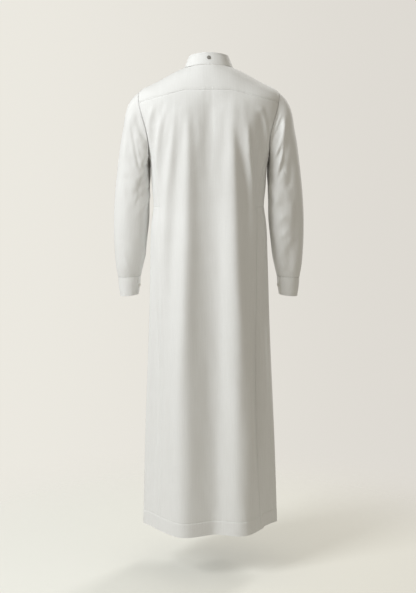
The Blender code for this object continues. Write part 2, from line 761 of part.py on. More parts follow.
def right_hand(mesh):
    """A left-hand mesh mirrored to the wearer's right."""
    mesh.transform(Matrix.Diagonal((-1, 1, 1, 1)))
    mesh.flip_normals()
    return mesh


# ---------------------------------------------------------------- the garment


def make_panels(garment, cloth):
    rims = ("top", "start", "end")
    add(garment, "back_yoke", panel_mesh(yoke_grid(), ("top", "bottom", "start", "end")), cloth)
    add(garment, "back_panel", panel_mesh(back_panel_grid(), rims), cloth)
    front = front_panel_grid()
    add(garment, "front_panel", panel_mesh(front, rims, slit_rows=SLIT_ROWS), cloth)
    add(garment, "front_placket", placket_mesh(front), cloth)
    gusset = between(GUSSET_BACK, GUSSET_FRONT, ARM_GUSSET, WAIST_SEAM)
    hem = line(SIDE_BACK[-1], SIDE_FRONT[-1], GUSSET_STEPS)
    skirt = between(SIDE_BACK, SIDE_FRONT, WAIST_SEAM, hem)
    for side, turned in (("left", lambda grid: grid), ("right", mirrored)):
        all_round = ("top", "bottom", "start", "end")
        mesh = panel_mesh(turned(gusset), all_round)
        add(garment, "underarm_gusset_" + side, mesh, cloth)
        add(garment, "side_panel_" + side, panel_mesh(turned(skirt), rims), cloth)


def make_sleeves(garment, cloth, button_finish):
    for side in ("left", "right"):
        sleeve, cuff = sleeve_mesh(SLEEVE_FOLDS[side]), cuff_mesh()
        lap_middle = np.array([CUFF_LAP_END + CUFF_LAP * 0.55])
        shift = lapped(lap_middle - 360, CUFF_LAP, CUFF_LAP_END + CUFF_LAP, CUFF_LAP_END - 360)
        centre = cuff_points(lap_middle, 0.5, shift)[0]
        across = cuff_points(lap_middle + 1, 0.5, shift)[0] - centre
        down = cuff_points(lap_middle, 0.6, shift)[0] - centre
        outward = np.cross(down, across)
        if side == "right":
            right_hand(sleeve)
            right_hand(cuff)
            centre, outward = centre * (-1, 1, 1), outward * (-1, 1, 1)
        add(garment, "sleeve_" + side, sleeve, cloth)
        add(garment, "cuff_" + side, cuff, cloth)
        name = "cuff_button_" + side
        button_object(garment, name, SHIRT_BUTTON, button_finish, centre, outward)


def make_collar(garment, cloth, button_finish, stud_finish):
    add(garment, "collar", collar_mesh(), cloth)
    shift = np.array([(BAND_WALL + SEAM_GAP) / 2])
    ends = [collar_points(np.array([180.0]), share, shift)[0] for share in (0.0, 0.5, 1.0)]
    outward = np.cross(ends[2] - ends[0], (-1.0, 0, 0))
    button_object(garment, "collar_button", SHIRT_BUTTON, button_finish, ends[1], outward)
    flat = np.array([0.0])
    ends = [collar_points(flat, share, flat)[0] for share in (0.0, 0.55, 1.0)]
    outward = np.cross(ends[2] - ends[0], (1.0, 0, 0))
    button_object(garment, "collar_back_stud", BACK_STUD, stud_finish, ends[1], outward)


def make_placket_buttons(garment, button_finish):
    for number, drop in enumerate(PLACKET_BUTTON_DROPS, start=1):
        normal = body_normal(180.0, drop)
        centre = body(180.0, drop) + normal * (SEAM_GAP + PLACKET_WALL)
        name = f"placket_button_{number}"
        button_object(garment, name, SHIRT_BUTTON, button_finish, centre, normal)


def main():
    for old in list(bpy.data.objects):
        bpy.data.objects.remove(old)
    garment = bpy.data.collections.new("thobe_robe")
    bpy.context.scene.collection.children.link(garment)
    cloth = finish("white_cloth", WHITE_CLOTH, 0.85)
    button_finish = finish("white_button", WHITE_BUTTON, 0.35)
    stud_finish = finish("grey_stud", GREY_STUD, 0.4)
    make_panels(garment, cloth)
    make_sleeves(garment, cloth, button_finish)
    make_collar(garment, cloth, button_finish, stud_finish)
    make_placket_buttons(garment, button_finish)


main()
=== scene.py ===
"""Thobe robe in its worn shape: the finished cloth, its sewing, buttons, light and camera.

Sizes in the tables are in millimetres; the meshes are in metres.
+Z is up, the front faces -Y, and the wearer's left is +X.  The origin is the middle of the
neck opening, level with the neck point of the shoulder.
"""

import math
from collections import namedtuple

import bpy
import numpy as np
from mathutils import Matrix, Vector


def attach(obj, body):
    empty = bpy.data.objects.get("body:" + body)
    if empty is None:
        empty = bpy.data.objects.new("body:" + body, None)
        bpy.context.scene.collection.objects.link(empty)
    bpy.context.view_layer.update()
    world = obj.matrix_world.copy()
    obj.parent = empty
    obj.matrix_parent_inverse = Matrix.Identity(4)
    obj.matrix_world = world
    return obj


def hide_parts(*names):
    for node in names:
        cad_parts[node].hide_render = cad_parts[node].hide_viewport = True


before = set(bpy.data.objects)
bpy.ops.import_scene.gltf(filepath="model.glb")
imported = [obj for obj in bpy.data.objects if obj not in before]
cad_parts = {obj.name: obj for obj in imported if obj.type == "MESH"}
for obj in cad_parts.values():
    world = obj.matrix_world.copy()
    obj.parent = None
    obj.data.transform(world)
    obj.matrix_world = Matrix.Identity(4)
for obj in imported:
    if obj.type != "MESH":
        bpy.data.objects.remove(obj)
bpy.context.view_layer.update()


# ---------------------------------------------------------------- back panel
# The back is one length of white cotton from the yoke seam to a turned and stitched hem, eased
# into a small inverted pleat at its middle.  It hangs in two long soft folds, and short creases
# run down from the shoulder blades where the armholes pull on it.

MM = 0.001
CLOTH_WALL = 1.2
SEAM_GAP = 0.3
HEM_DROP = 1478.0
HEM_TURNING = 45.0
WAIST_SEAM_DROP = 447.0

# Sections of the robe's body.  z_* are heights at centre back, side and centre front.
BodyRing = namedtuple(
    "BodyRing", "drop z_back z_side z_front half_width y_back y_front square x_middle"
)


def rows_of(kind, *rows):
    """A table whose rows have named values."""
    return [kind(*row) for row in rows]


BODY_RINGS = rows_of(
    BodyRing,
    (0, 8, 0, -74, 75, 60, -78, 2.00, 0),  # neck seam
    (38, -22, -18, -92, 114, 85, -92, 2.15, 0),
    (82, -62, -48, -120, 170, 103, -106, 2.30, 0),
    (125, -104, -74, -150, 216, 115, -117, 2.40, 0),  # shoulder points
    (200, -179, -162, -196, 220, 125, -126, 2.40, 0),
    (283, -262, -262, -262, 189, 126, -128, 2.30, 0),  # armpits
    (345, -324, -324, -324, 180, 121, -126, 2.25, 0),
    (400, -379, -379, -379, 176.5, 116, -122, 2.20, 0),
    (447, -426, -426, -426, 173, 113, -120, 2.20, 0),  # waist seam
    (490, -469, -469, -469, 179, 113, -121, 2.20, 0),
    (560, -539, -539, -539, 184.5, 115, -123, 2.15, 0),
    (700, -679, -679, -679, 190.5, 119, -127, 2.08, -1),
    (900, -879, -879, -879, 199, 126, -134, 1.98, -1.5),
    (1200, -1179, -1179, -1179, 212.5, 136, -145, 1.83, -3),
    (HEM_DROP, -1457, -1457, -1457, 221.5, 146, -154, 1.70, -4.5),  # hem
)

# Hanging folds, soft ridges (out > 0) and troughs (out < 0) down the cloth, at four levels.
FOLD_LEVELS = (125, 447, 1000, HEM_DROP)
Fold = namedtuple(
    "Fold",
    "x_top x_waist x_knee x_hem out_top out_waist out_knee out_hem wide_top wide_hem",
)
BACK_FOLDS = rows_of(
    Fold,
    (64, 64, 83, 80, 0, 14, 18, 29.5, 11, 50),  # main fold, wearer's left
    (-74, -74, -95, -101, 4, 20, 12, 25, 18, 53),  # main fold, wearer's right
    (6, -1, -13, -20, -5, -10, -30, -21.5, 35, 55),  # valley between them
    (98, 131, 150, 144, 0.5, 7, -11, 4.5, 8, 31),
    (148, 162, 185, 180, 3, 2.5, -21, -5, 8, 37),
    (-102, -136, -157, -173, 2.5, 5.5, -22, 3, 15, 16),
    (-162, -149, -192, -179, 1, -5.5, 4, 0, 11, 17),
    (-163, -175, -205, -190, -2.5, 1.5, -8.5, -16, 25, 55),
)
FRONT_FOLDS = rows_of(
    Fold,
    (84, 92, 104, 116, 1.0, 9, 20, 31, 18, 44),
    (-76, -84, -98, -112, 1.0, 8, 19, 30, 18, 42),
    (0, 4, 10, 14, 0.0, 2, 8, 14, 22, 38),
    (48, 50, 58, 64, 0.0, -3, -9, -15, 18, 26),
    (-42, -44, -44, -48, 0.0, -3, -10, -16, 18, 28),
    (140, 150, 160, 160, 4.0, 4, 0, 0, 10, 22),
    (-138, -150, -160, -160, 4.0, 4, 0, 0, 10, 22),
    (185, 185, 190, 202, 0.0, 0, -4, -12, 20, 32),
)
FOLD_SPREAD, FOLD_TOP_DROP, FOLD_TOP_FADE, FOLD_SIDE_FADE = 0.8, 85, 70, 0.28
PLEAT_HALF_WIDTH, PLEAT_EDGE, PLEAT_OUT = 14.5, 4, -0.8
PLEAT_TOP_DROP, PLEAT_TOP_FADE, PLEAT_FULL_DROP, PLEAT_END_DROP = 88, 9, 130, 385

# Creases: soft ridges and troughs along a bent line through three points seen from behind (or
# from in front).  steep narrows the side that faces the wearer's right.
Crease = namedtuple("Crease", "x1 z1 x2 z2 x3 z3 out wide steep")
BACK_CREASES = rows_of(
    Crease,
    (158, -110, 181, -172, 170, -250, 4.1, 7, 0.85),
    (143, -95, 154, -162, 175, -304, -4.5, 14, 1.05),
    (125, -110, 143, -191, 152, -330, 2, 7, 0.8),
    (109, -132, 126, -187, 135, -274, 1.7, 9, 1),
    (76, -105, 97, -207, 125, -421, 3.8, 15.5, 0.9),
    (86, -140, 97, -215, 101, -440, -1.4, 9, 1),
    (63, -140, 63, -215, 56, -335, 1.3, 12.5, 0.8),
    (35, -139, 29, -195, 26, -267, 1.5, 11.5, 0.85),
    (-46, -119, -52, -205, -41, -344, -3.4, 18, 1.05),
    (-65, -121, -67, -199, -73, -358, -0.8, 12.5, 0.75),
    (-72, -120, -93, -270, -128, -447, -4.5, 14, 0.85),
    (-119, -150, -121, -270, -138, -400, 4.5, 9, 1),
    (-158, -122, -166, -196, -125, -340, -4.5, 15, 1),
    (-138, -130, -174, -168, -178, -352, 4.5, 6.5, 0.9),
    (7, -95, 11, -141, 17, -255, 0.7, 8, 1),
    (-9, -96, -5, -212, -3, -428, -4.5, 28, 1.15),
    (34, -492, 45, -790, 32, -1199, -2.2, 19.5, 1.05),
    (-43, -426, -42, -788, -66, -1328, -4.5, 20.5, 1.05),
    (14, -488, -7, -875, -15, -1409, 1.1, 17, 1.05),
    (99, -374, 122, -691, 127, -1214, -4.5, 20, 1.05),
    (-133, -443, -122, -734, -133, -1200, -4.3, 25.5, 1.1),
    (140, -131, 156, -246, 148, -372, 4.5, 6.5, 1.05),
    (-121, -106, -139, -204, -158, -327, 2.6, 13, 1.05),
    (76, -306, 81, -450, 86, -693, 0.8, 10.5, 1),
    (-22, -897, 1, -1233, -25, -1460, 3, 28, 1),
    (65, -900, 60, -1216, 63, -1460, 0.6, 10, 1),
    (-83, -908, -80, -1193, -80, -1415, 2.8, 17.5, 0.95),
)
FRONT_CREASES = rows_of(
    Crease,
    (150, -150, 164, -190, 158, -280, 3.4, 6, 0.8),
    (138, -160, 150, -205, 146, -300, -3.2, 7, 1),
    (112, -150, 128, -210, 132, -330, 3, 8, 0.8),
    (94, -140, 104, -215, 112, -390, -2.6, 11, 1),
    (72, -170, 80, -260, 86, -420, 2.6, 10, 0.8),
    (40, -190, 46, -300, 50, -520, -2.2, 12, 1),
    (-58, -180, -66, -270, -74, -430, 2.4, 10, 0.8),
    (-84, -150, -96, -240, -104, -400, -2.8, 12, 1),
    (-104, -150, -120, -215, -130, -350, 3.2, 8, 0.8),
    (-134, -156, -148, -205, -144, -300, -3.2, 7, 1),
    (-148, -146, -164, -186, -160, -270, 3.6, 6, 0.8),
    (60, -480, 66, -800, 74, -1250, -3.4, 20, 1),
    (-28, -470, -30, -850, -38, -1380, 2.8, 20, 1),
    (120, -420, 128, -760, 134, -1240, -3.4, 18, 1),
    (-122, -440, -126, -740, -138, -1180, -3.8, 22, 1),
    (24, -820, 26, -1120, 34, -1440, 2.2, 18, 1),
    (-86, -860, -92, -1150, -104, -1440, 2.4, 16, 1),
)
CREASE_POINTS, CREASE_REACH, CREASE_FADE_IN, CREASE_FADE_OUT = 9, 3, 0.3, 0.35

# Slight unevenness of worn cloth: waves of (size, radians per mm across and up, start).
RIPPLES = (
    (0.30, 0.071, 0.013, 0.4),
    (0.24, -0.052, 0.023, 2.1),
    (0.18, 0.113, -0.019, 4.0),
    (0.12, 0.031, 0.083, 1.2),
    (0.10, -0.147, 0.041, 5.3),
    (0.22, 0.024, 0.009, 3.3),
)

# Armhole: an ellipse in angle and drop.  Clock angle 0 is its top, 90 its back, 180 the armpit.
ARMHOLE_ANGLE, ARMHOLE_HALF_ANGLE = 90.0, 27.5
ARMHOLE_DROP, ARMHOLE_HALF_DROP = 204.0, 79.0
YOKE_BACK_CLOCK, GUSSET_BACK_CLOCK, GUSSET_FRONT_CLOCK, YOKE_FRONT_CLOCK = 51, 150, 210, 338
ARMHOLE_MM_PER_DEGREE = 1.4

# The yoke seam is level for YOKE_SEAM_FLAT each side of centre back, then falls to the armholes.
YOKE_SEAM_Z, YOKE_SEAM_FLAT, YOKE_SEAM_SLOPE, FOLD_START = -69.5, 74.0, 0.27, 28.0
YOKE_SEAM_HIGHEST_DROP, YOKE_SEAM_LOWEST_DROP, YOKE_SEAM_HALVINGS = 40.0, 200.0, 40

# The skirt's side seams, as x before folds at four levels.
SeamPoint = namedtuple("SeamPoint", "drop x")
SIDE_SEAM_BACK = (
    SeamPoint(WAIST_SEAM_DROP, 151),
    SeamPoint(757, 156),
    SeamPoint(1026, 162),
    SeamPoint(HEM_DROP, 166),
)

# The mesh: close steps beside a seam, from the edge in, and above the hem, and its counts.
SEAM_STEPS = (1.2, 2.6, 4.2, 6.0, 7.8, 10.5)
HEM_STEPS = (0.8, 2.2, 5, 10, 16, 22, 28, 34, 39, 42.5, 44, 45, 46, 47.5, 50)
PANEL_COLUMNS, FINE_COLUMNS, SKIRT_ROWS, ARM_ROWS, GUSSET_ROWS = 58, 160, 145, 24, 24

# Sewing: seam edges roll under, stitched lines are pressed in and pucker, a felled seam's
# allowance lifts the cloth, and the hem's turning is a step.
SEAM_ROLL, SEAM_ROLL_WIDTH = 0.9, 4.2
TOPSTITCH, GROOVE_DEPTH, GROOVE_WIDTH, GROOVE_FADE = 6.0, 0.38, 1.5, 3
FELL_HEIGHT, FELL_MIDDLE, FELL_WIDE_OUT, FELL_WIDE_IN, FELL_FADE = 1.1, 3.4, 1.9, 6.5, 60
HEM_GROOVE_DEPTH, HEM_STEP, HEM_STEP_WIDTH, HEM_EXTRA_WALL = 0.5, 0.4, 3, 0.8
GROOVE_PUCKER = ((0.35, 2.7, 0), (0.3, 4.1, 1))
HEM_PUCKER = ((0.3, 3.1, 0), (0.4, 7.3, 2))
TO_END = 1e4
SHARP_CLOTH_ANGLE = 55


def spline(knots, rows):
    """A natural cubic spline through rows, as a function that takes one place or many."""
    knots = np.asarray(knots, float)
    rows = np.reshape(np.asarray(rows, float), (len(knots), -1))
    step = np.diff(knots)
    matrix = np.eye(len(knots))
    pull = np.zeros_like(rows)
    for i in range(1, len(knots) - 1):
        before, after = step[i - 1], step[i]
        matrix[i, i - 1 : i + 2] = before, 2 * (before + after), after
        pull[i] = 6 * ((rows[i + 1] - rows[i]) / after - (rows[i] - rows[i - 1]) / before)
    bend = np.linalg.solve(matrix, pull)

    def at(place):
        place = np.asarray(place, float)
        i = np.clip(np.searchsorted(knots, place) - 1, 0, len(knots) - 2)
        width = step[i][..., None]
        b = (place - knots[i])[..., None] / width
        a = 1 - b
        cubic = ((a**3 - a) * bend[i] + (b**3 - b) * bend[i + 1]) * width**2 / 6
        return a * rows[i] + b * rows[i + 1] + cubic

    return at


def smooth_step(value):
    value = np.clip(value, 0, 1)
    return value * value * (3 - 2 * value)


def bell(value):
    return np.exp(-(value**2))


def fold_splines(folds):
    """Each fold's place and height as functions of drop, with its width at top and hem."""
    return [
        (spline(FOLD_LEVELS, fold[0:4]), spline(FOLD_LEVELS, fold[4:8]), *fold[8:])
        for fold in folds
    ]


BODY_AT = spline([ring.drop for ring in BODY_RINGS], [ring[1:] for ring in BODY_RINGS])
BACK_FOLDS_AT, FRONT_FOLDS_AT = fold_splines(BACK_FOLDS), fold_splines(FRONT_FOLDS)


def fold_height(folds_at, x, drop):
    """How far the hanging folds stand out of the section at x."""
    levels = np.clip(drop, FOLD_LEVELS[0], FOLD_LEVELS[-1])
    down = (levels - FOLD_LEVELS[0]) / (FOLD_LEVELS[-1] - FOLD_LEVELS[0])
    total = np.zeros_like(x)
    for x_at, out_at, wide_top, wide_hem in folds_at:
        wide = wide_top + (wide_hem - wide_top) * down**FOLD_SPREAD
        total = total + out_at(levels)[..., 0] * bell((x - x_at(levels)[..., 0]) / wide)
    return total * smooth_step((drop - FOLD_TOP_DROP) / FOLD_TOP_FADE)


def pleat_height(x, drop):
    """The inverted pleat: a shallow channel under the yoke that eases out down the back."""
    edge = smooth_step((PLEAT_HALF_WIDTH + PLEAT_EDGE / 2 - np.abs(x)) / PLEAT_EDGE)
    opens = smooth_step((drop - PLEAT_TOP_DROP) / PLEAT_TOP_FADE)
    eases = smooth_step((PLEAT_END_DROP - drop) / (PLEAT_END_DROP - PLEAT_FULL_DROP))
    return PLEAT_OUT * edge * opens * eases


def crease_height(creases, x, z):
    """How far the creases stand out at x, z."""
    total = np.zeros_like(x)
    for crease in creases:
        start, through, end = np.array(crease[:6], float).reshape(3, 2)
        bend = 2 * through - (start + end) / 2
        t = np.linspace(0, 1, CREASE_POINTS)[:, None]
        line = start * (1 - t) ** 2 + 2 * bend * t * (1 - t) + end * t**2
        reach = CREASE_REACH * crease.wide
        low, high = line.min(axis=0) - reach, line.max(axis=0) + reach
        near = (x > low[0]) & (x < high[0]) & (z > low[1]) & (z < high[1])
        if not near.any():
            continue
        place = np.stack((x[near], z[near]), axis=-1)
        nearest = np.full(len(place), np.inf)
        share = np.zeros(len(place))
        side = np.zeros(len(place))
        for k in range(len(line) - 1):
            along = line[k + 1] - line[k]
            offset = place - line[k]
            part = np.clip(offset @ along / (along @ along), 0, 1)
            away = offset - part[:, None] * along
            distance = np.hypot(away[:, 0], away[:, 1])
            closer = distance < nearest
            nearest = np.where(closer, distance, nearest)
            share = np.where(closer, (k + part) / (len(line) - 1), share)
            side = np.where(closer, away[:, 0], side)
        wide = crease.wide * np.where(side < 0, crease.steep, 1.0)
        ends = smooth_step(share / CREASE_FADE_IN) * smooth_step((1 - share) / CREASE_FADE_OUT)
        total[near] += crease.out * bell(nearest / wide) * ends
    return total


def ripple(x, z):
    return sum(size * np.sin(a * x + b * z + start) for size, a, b, start in RIPPLES)


def ring_at(drop):
    """The body's section at this drop, as one BodyRing."""
    return BodyRing(drop, *np.moveaxis(BODY_AT(drop), -1, 0))


def section_x(angle, drop):
    """x of the section before folds, which angle_at turns back into the angle."""
    ring = ring_at(drop)
    sine = np.sin(np.radians(angle))
    return ring.half_width * np.sign(sine) * np.abs(sine) ** (2 / ring.square)


def angle_at(x, drop, front=False):
    ring = ring_at(drop)
    share = np.clip(np.abs(x) / ring.half_width, 0, 1)
    angle = np.degrees(np.arcsin(share ** (ring.square / 2)))
    return np.sign(x) * np.where(front, 180 - angle, angle)


def body(angle, drop, creased=True):
    """Points of the body surface (mm).  Angles are in degrees: 0 centre back, 90 wearer's left."""
    angle, drop = np.broadcast_arrays(np.asarray(angle, float), np.asarray(drop, float))
    ring = ring_at(drop)
    sine, cosine = np.sin(np.radians(angle)), np.cos(np.radians(angle))
    at_back = cosine >= 0
    depth = np.where(at_back, ring.y_back, -ring.y_front)
    across = np.abs(sine) ** (2 / ring.square)
    deep = np.abs(cosine) ** (2 / ring.square)
    x = ring.half_width * np.sign(sine) * across
    y = depth * np.sign(cosine) * deep
    z = ring.z_side + (np.where(at_back, ring.z_back, ring.z_front) - ring.z_side) * cosine**2
    normal_x = np.sign(sine) * across ** (ring.square - 1) / ring.half_width
    normal_y = np.sign(cosine) * deep ** (ring.square - 1) / depth
    length = np.hypot(normal_x, normal_y)
    seam_z = YOKE_SEAM_Z - YOKE_SEAM_SLOPE * np.maximum(np.abs(x) - YOKE_SEAM_FLAT, 0)
    below_yoke = smooth_step((seam_z - z) / FOLD_START)
    back_push = fold_height(BACK_FOLDS_AT, x, drop) * below_yoke + pleat_height(x, drop)
    front_push = fold_height(FRONT_FOLDS_AT, x, drop)
    if creased:
        back_push = back_push + crease_height(BACK_CREASES, x, z) + ripple(x, z)
        front_push = front_push + crease_height(FRONT_CREASES, x, z) + ripple(-x, z)
    push = np.where(at_back, back_push, front_push)
    push = push * smooth_step(np.abs(cosine) / FOLD_SIDE_FADE)
    x = ring.x_middle + x + push * normal_x / length
    return np.stack((x, y + push * normal_y / length, z), axis=-1)


def on_body(places, creased=True):
    """Points of the body surface at a grid or line of (angle, drop)."""
    return body(places[..., 0], places[..., 1], creased)


def armhole(clock):
    """(angle, drop) of places round the left armhole."""
    turn = np.radians(clock)
    angle = ARMHOLE_ANGLE - ARMHOLE_HALF_ANGLE * np.sin(turn)
    return np.stack((angle, ARMHOLE_DROP - ARMHOLE_HALF_DROP * np.cos(turn)), axis=-1)


def graded(start, end, steps, near_start=(), near_end=()):
    """Places from start to end, with close steps at the distances given from either end."""
    way = 1 if end > start else -1
    head = [start, *(start + way * d for d in near_start)]
    tail = [*(end - way * d for d in reversed(near_end)), end]
    middle = np.linspace(head[-1], tail[0], steps + 1)[1:-1]
    return np.concatenate((head, middle, tail))


def shares_of(steps, length):
    """Steps in mm, as shares of a length or as degrees where length is mm to the degree."""
    return [step / length for step in steps]


def yoke_seam(x):
    """(angle, drop) of the back yoke seam, this far from centre back on the left."""
    end_angle, end_drop = armhole(YOKE_BACK_CLOCK)
    end = body(end_angle, end_drop, False)
    end_x = float(section_x(end_angle, end_drop))
    slope = (end[2] - YOKE_SEAM_Z) / (end_x - YOKE_SEAM_FLAT)
    height = YOKE_SEAM_Z + slope * np.maximum(x - YOKE_SEAM_FLAT, 0)
    low = np.full_like(x, YOKE_SEAM_HIGHEST_DROP)
    high = np.full_like(x, YOKE_SEAM_LOWEST_DROP)
    for _ in range(YOKE_SEAM_HALVINGS):
        middle = (low + high) / 2
        above = body(angle_at(x, middle), middle, False)[..., 2] > height
        low, high = np.where(above, middle, low), np.where(above, high, middle)
    return np.stack((angle_at(x, middle), middle), axis=-1)


def side_seam(points, drops, front):
    x_at = spline([point.drop for point in points], [point.x for point in points])
    return np.stack((angle_at(x_at(drops)[:, 0], drops, front), drops), axis=-1)


def gusset_seam(clock, waist_point, share):
    """The left seam between gusset and panel, from the armhole to the waist seam."""
    start = armhole(clock)
    drops = start[1] + (waist_point[1] - start[1]) * share
    angles = start[0] + (waist_point[0] - start[0]) * (1 - (1 - share) ** 2)
    return np.stack((angles, drops), axis=-1)


def run_along(points, axis):
    """Distance along a grid's rows or columns from their start."""
    step = np.linalg.norm(np.diff(points, axis=axis), axis=-1)
    start = np.zeros_like(np.take(step, [0], axis=axis))
    return np.cumsum(np.concatenate((start, step), axis=axis), axis=axis)


def surface_normals(points, closed=False):
    """Unit normals of a grid, out of the robe, where rows go down and columns go round."""
    if closed:
        round_it = np.roll(points, -1, axis=1) - np.roll(points, 1, axis=1)
    else:
        round_it = np.gradient(points, axis=1)
    normal = np.cross(round_it, np.gradient(points, axis=0))
    return normal / np.linalg.norm(normal, axis=-1, keepdims=True)


def edge_distances(points):
    across, down = run_along(points, 1), run_along(points, 0)
    return {
        "start": across,
        "end": across[:, -1:] - across,
        "top": down,
        "bottom": down[-1:] - down,
    }


def pucker(length, waves):
    """How unevenly a stitched line is pressed in along its length."""
    return sum((size * np.sin(length / wide + start) for size, wide, start in waves), start=1)


def rolled(points, normal, seams, grooves=(), hem=False, felled=()):
    """Panel points with their seam edges turned under, pressed in where they are stitched.

    A groove is (edge, distance from it, first and last millimetre along it).  A felled edge is
    (edge, first millimetre along it), where the turned seam allowance lifts the cloth.
    """
    distance = edge_distances(points)
    shift = np.zeros(points.shape[:2])
    for edge in seams:
        near = np.clip(1 - distance[edge] / SEAM_ROLL_WIDTH, 0, 1)
        shift = np.maximum(shift, SEAM_ROLL * near**2)
    for edge, inset, first, last in grooves:
        length = distance["top" if edge in ("start", "end") else "start"]
        within = smooth_step((length - first + GROOVE_FADE) / GROOVE_FADE)
        within = within * smooth_step((last - length + GROOVE_FADE) / GROOVE_FADE)
        line = bell((distance[edge] - inset) / GROOVE_WIDTH)
        shift = shift + GROOVE_DEPTH * pucker(length, GROOVE_PUCKER) * line * within
    for edge, first in felled:
        offset = distance[edge] - FELL_MIDDLE
        wide = np.where(offset < 0, FELL_WIDE_OUT, FELL_WIDE_IN)
        lifts = smooth_step((distance["top"] - first) / FELL_FADE)
        shift = shift - FELL_HEIGHT * bell(offset / wide) * lifts
    if hem:
        offset = distance["bottom"] - HEM_TURNING
        line = pucker(distance["start"], HEM_PUCKER) * bell(offset / GROOVE_WIDTH)
        shift = shift + HEM_GROOVE_DEPTH * line
        shift = shift - HEM_STEP * smooth_step(-offset / HEM_STEP_WIDTH)
    points = points - normal * shift[..., None]
    pairs = {
        "top": ((0,), (1,)),
        "bottom": ((-1,), (-2,)),
        "start": ((slice(None), 0), (slice(None), 1)),
        "end": ((slice(None), -1), (slice(None), -2)),
    }
    for edge in seams:
        outer, inner = pairs[edge]
        inward = points[inner] - points[outer]
        points[outer] += SEAM_GAP / 2 * inward / np.linalg.norm(inward, axis=-1, keepdims=True)
    return points


def inner_face(outer, normal, hem=False):
    """The inside of a cloth wall, two layers thick over the hem's turning."""
    wall = np.full(outer.shape[:2], CLOTH_WALL)
    if hem:
        turning = (HEM_TURNING - edge_distances(outer)["bottom"]) / 2
        wall = wall + HEM_EXTRA_WALL * smooth_step(turning)
    return outer - normal * wall[..., None]


def line_beside(points, edge, inset, first=0.0, last=TO_END):
    """A line on the cloth at a distance from an edge, with its normals, to stitch along."""
    grids = points, surface_normals(points), edge_distances(points)[edge]
    if edge in ("start", "end"):
        grids = (grid.swapaxes(0, 1) for grid in grids)
    if edge in ("end", "bottom"):
        grids = (grid[::-1] for grid in grids)
    points, normal, distance = grids
    below = np.clip((distance < inset).sum(axis=0), 1, len(distance) - 1)
    column = np.arange(points.shape[1])
    low, high = distance[below - 1, column], distance[below, column]
    share = ((inset - low) / (high - low))[:, None]
    line, line_normal = (
        grid[below - 1, column] * (1 - share) + grid[below, column] * share
        for grid in (points, normal)
    )
    run = run_along(line, 0)
    kept = (run >= first) & (run <= last)
    return line[kept], line_normal[kept]


def evenly(angles, drops, edge):
    """Rows of (angle, drop) out to a panel's edge, spaced by their real distance."""
    angles[:, -1] = edge[:, 0]
    run = run_along(body(angles, drops, False), 1)
    rows = []
    for row_run, row_angles, row_drops in zip(run, angles, drops):
        wanted = graded(0.0, row_run[-1], PANEL_COLUMNS, near_end=SEAM_STEPS)
        row = (np.interp(wanted, row_run, row_angles), np.interp(wanted, row_run, row_drops))
        rows.append(np.stack(row, axis=-1))
    return np.array(rows)


def shell_mesh(name, outer, inner, closed=False, left_out=None):
    """A closed wall between two grids of points (mm), with its cloth laid out flat as UVs."""
    rows, columns = outer.shape[:2]
    count = rows * columns
    index = np.arange(count).reshape(rows, columns)
    ring = np.concatenate((outer, outer[:, :1]), axis=1) if closed else outer
    across = run_along(ring, 1)
    across = across - across[:, across.shape[1] // 2, None]
    flat = np.stack((across, -run_along(ring, 0)), axis=-1) * MM
    if closed:
        index = np.concatenate((index, index[:, :1]), axis=1)

    def corners(grid):
        ring = (grid[:-1, :-1], grid[:-1, 1:], grid[1:, 1:], grid[1:, :-1])
        quads = np.stack(ring, axis=2)
        if left_out is not None:
            quads = quads[~left_out]
        return quads.reshape(-1, 4, *grid.shape[2:])

    front, front_flat = corners(index), corners(flat)
    points, inner_points = outer.reshape(-1, 3), inner.reshape(-1, 3)
    corner = points[front[:, 0]]
    turn = np.cross(points[front[:, 1]] - corner, points[front[:, 3]] - corner)
    outwards = corner - inner_points[front[:, 0]]
    if np.median(np.sum(turn * outwards, axis=1)) < 0:
        front, front_flat = front[:, ::-1], front_flat[:, ::-1]
    edges = np.stack((front, np.roll(front, -1, axis=1)), axis=-1).reshape(-1, 2)
    edge_flat = np.stack((front_flat, np.roll(front_flat, -1, axis=1)), axis=-2).reshape(-1, 2, 2)
    _, first, uses = np.unique(
        np.sort(edges, axis=1), axis=0, return_index=True, return_counts=True
    )
    rim = edges[first[uses == 1]]
    rim_flat = edge_flat[first[uses == 1]]
    rim_faces = np.stack((rim[:, 1], rim[:, 0], rim[:, 0] + count, rim[:, 1] + count), axis=1)
    faces = np.concatenate((front, front[:, ::-1] + count, rim_faces))
    laid = np.concatenate((front_flat, front_flat[:, ::-1], rim_flat[:, [1, 0, 0, 1]]))
    mesh = bpy.data.meshes.new(name)
    places = np.concatenate((points, inner_points)) * MM
    used, faces = np.unique(faces, return_inverse=True)
    mesh.from_pydata(places[used].tolist(), [], faces.reshape(-1, 4).tolist())
    layer = mesh.uv_layers.new(name="cloth")
    layer.data.foreach_set("uv", laid.reshape(-1).astype(np.float32))
    mesh.shade_smooth()
    mesh.set_sharp_from_angle(angle=math.radians(SHARP_CLOTH_ANGLE))
    return mesh


# A stitch dips into the cloth at both ends: (share of its length, height over the cloth).
STITCH_PITCH, STITCH_GAP, THREAD_HALF = 3.4, 0.9, 0.24
STITCH_BENDS = ((0.0, -0.2), (0.2, 0.16), (0.8, 0.16), (1.0, -0.2))


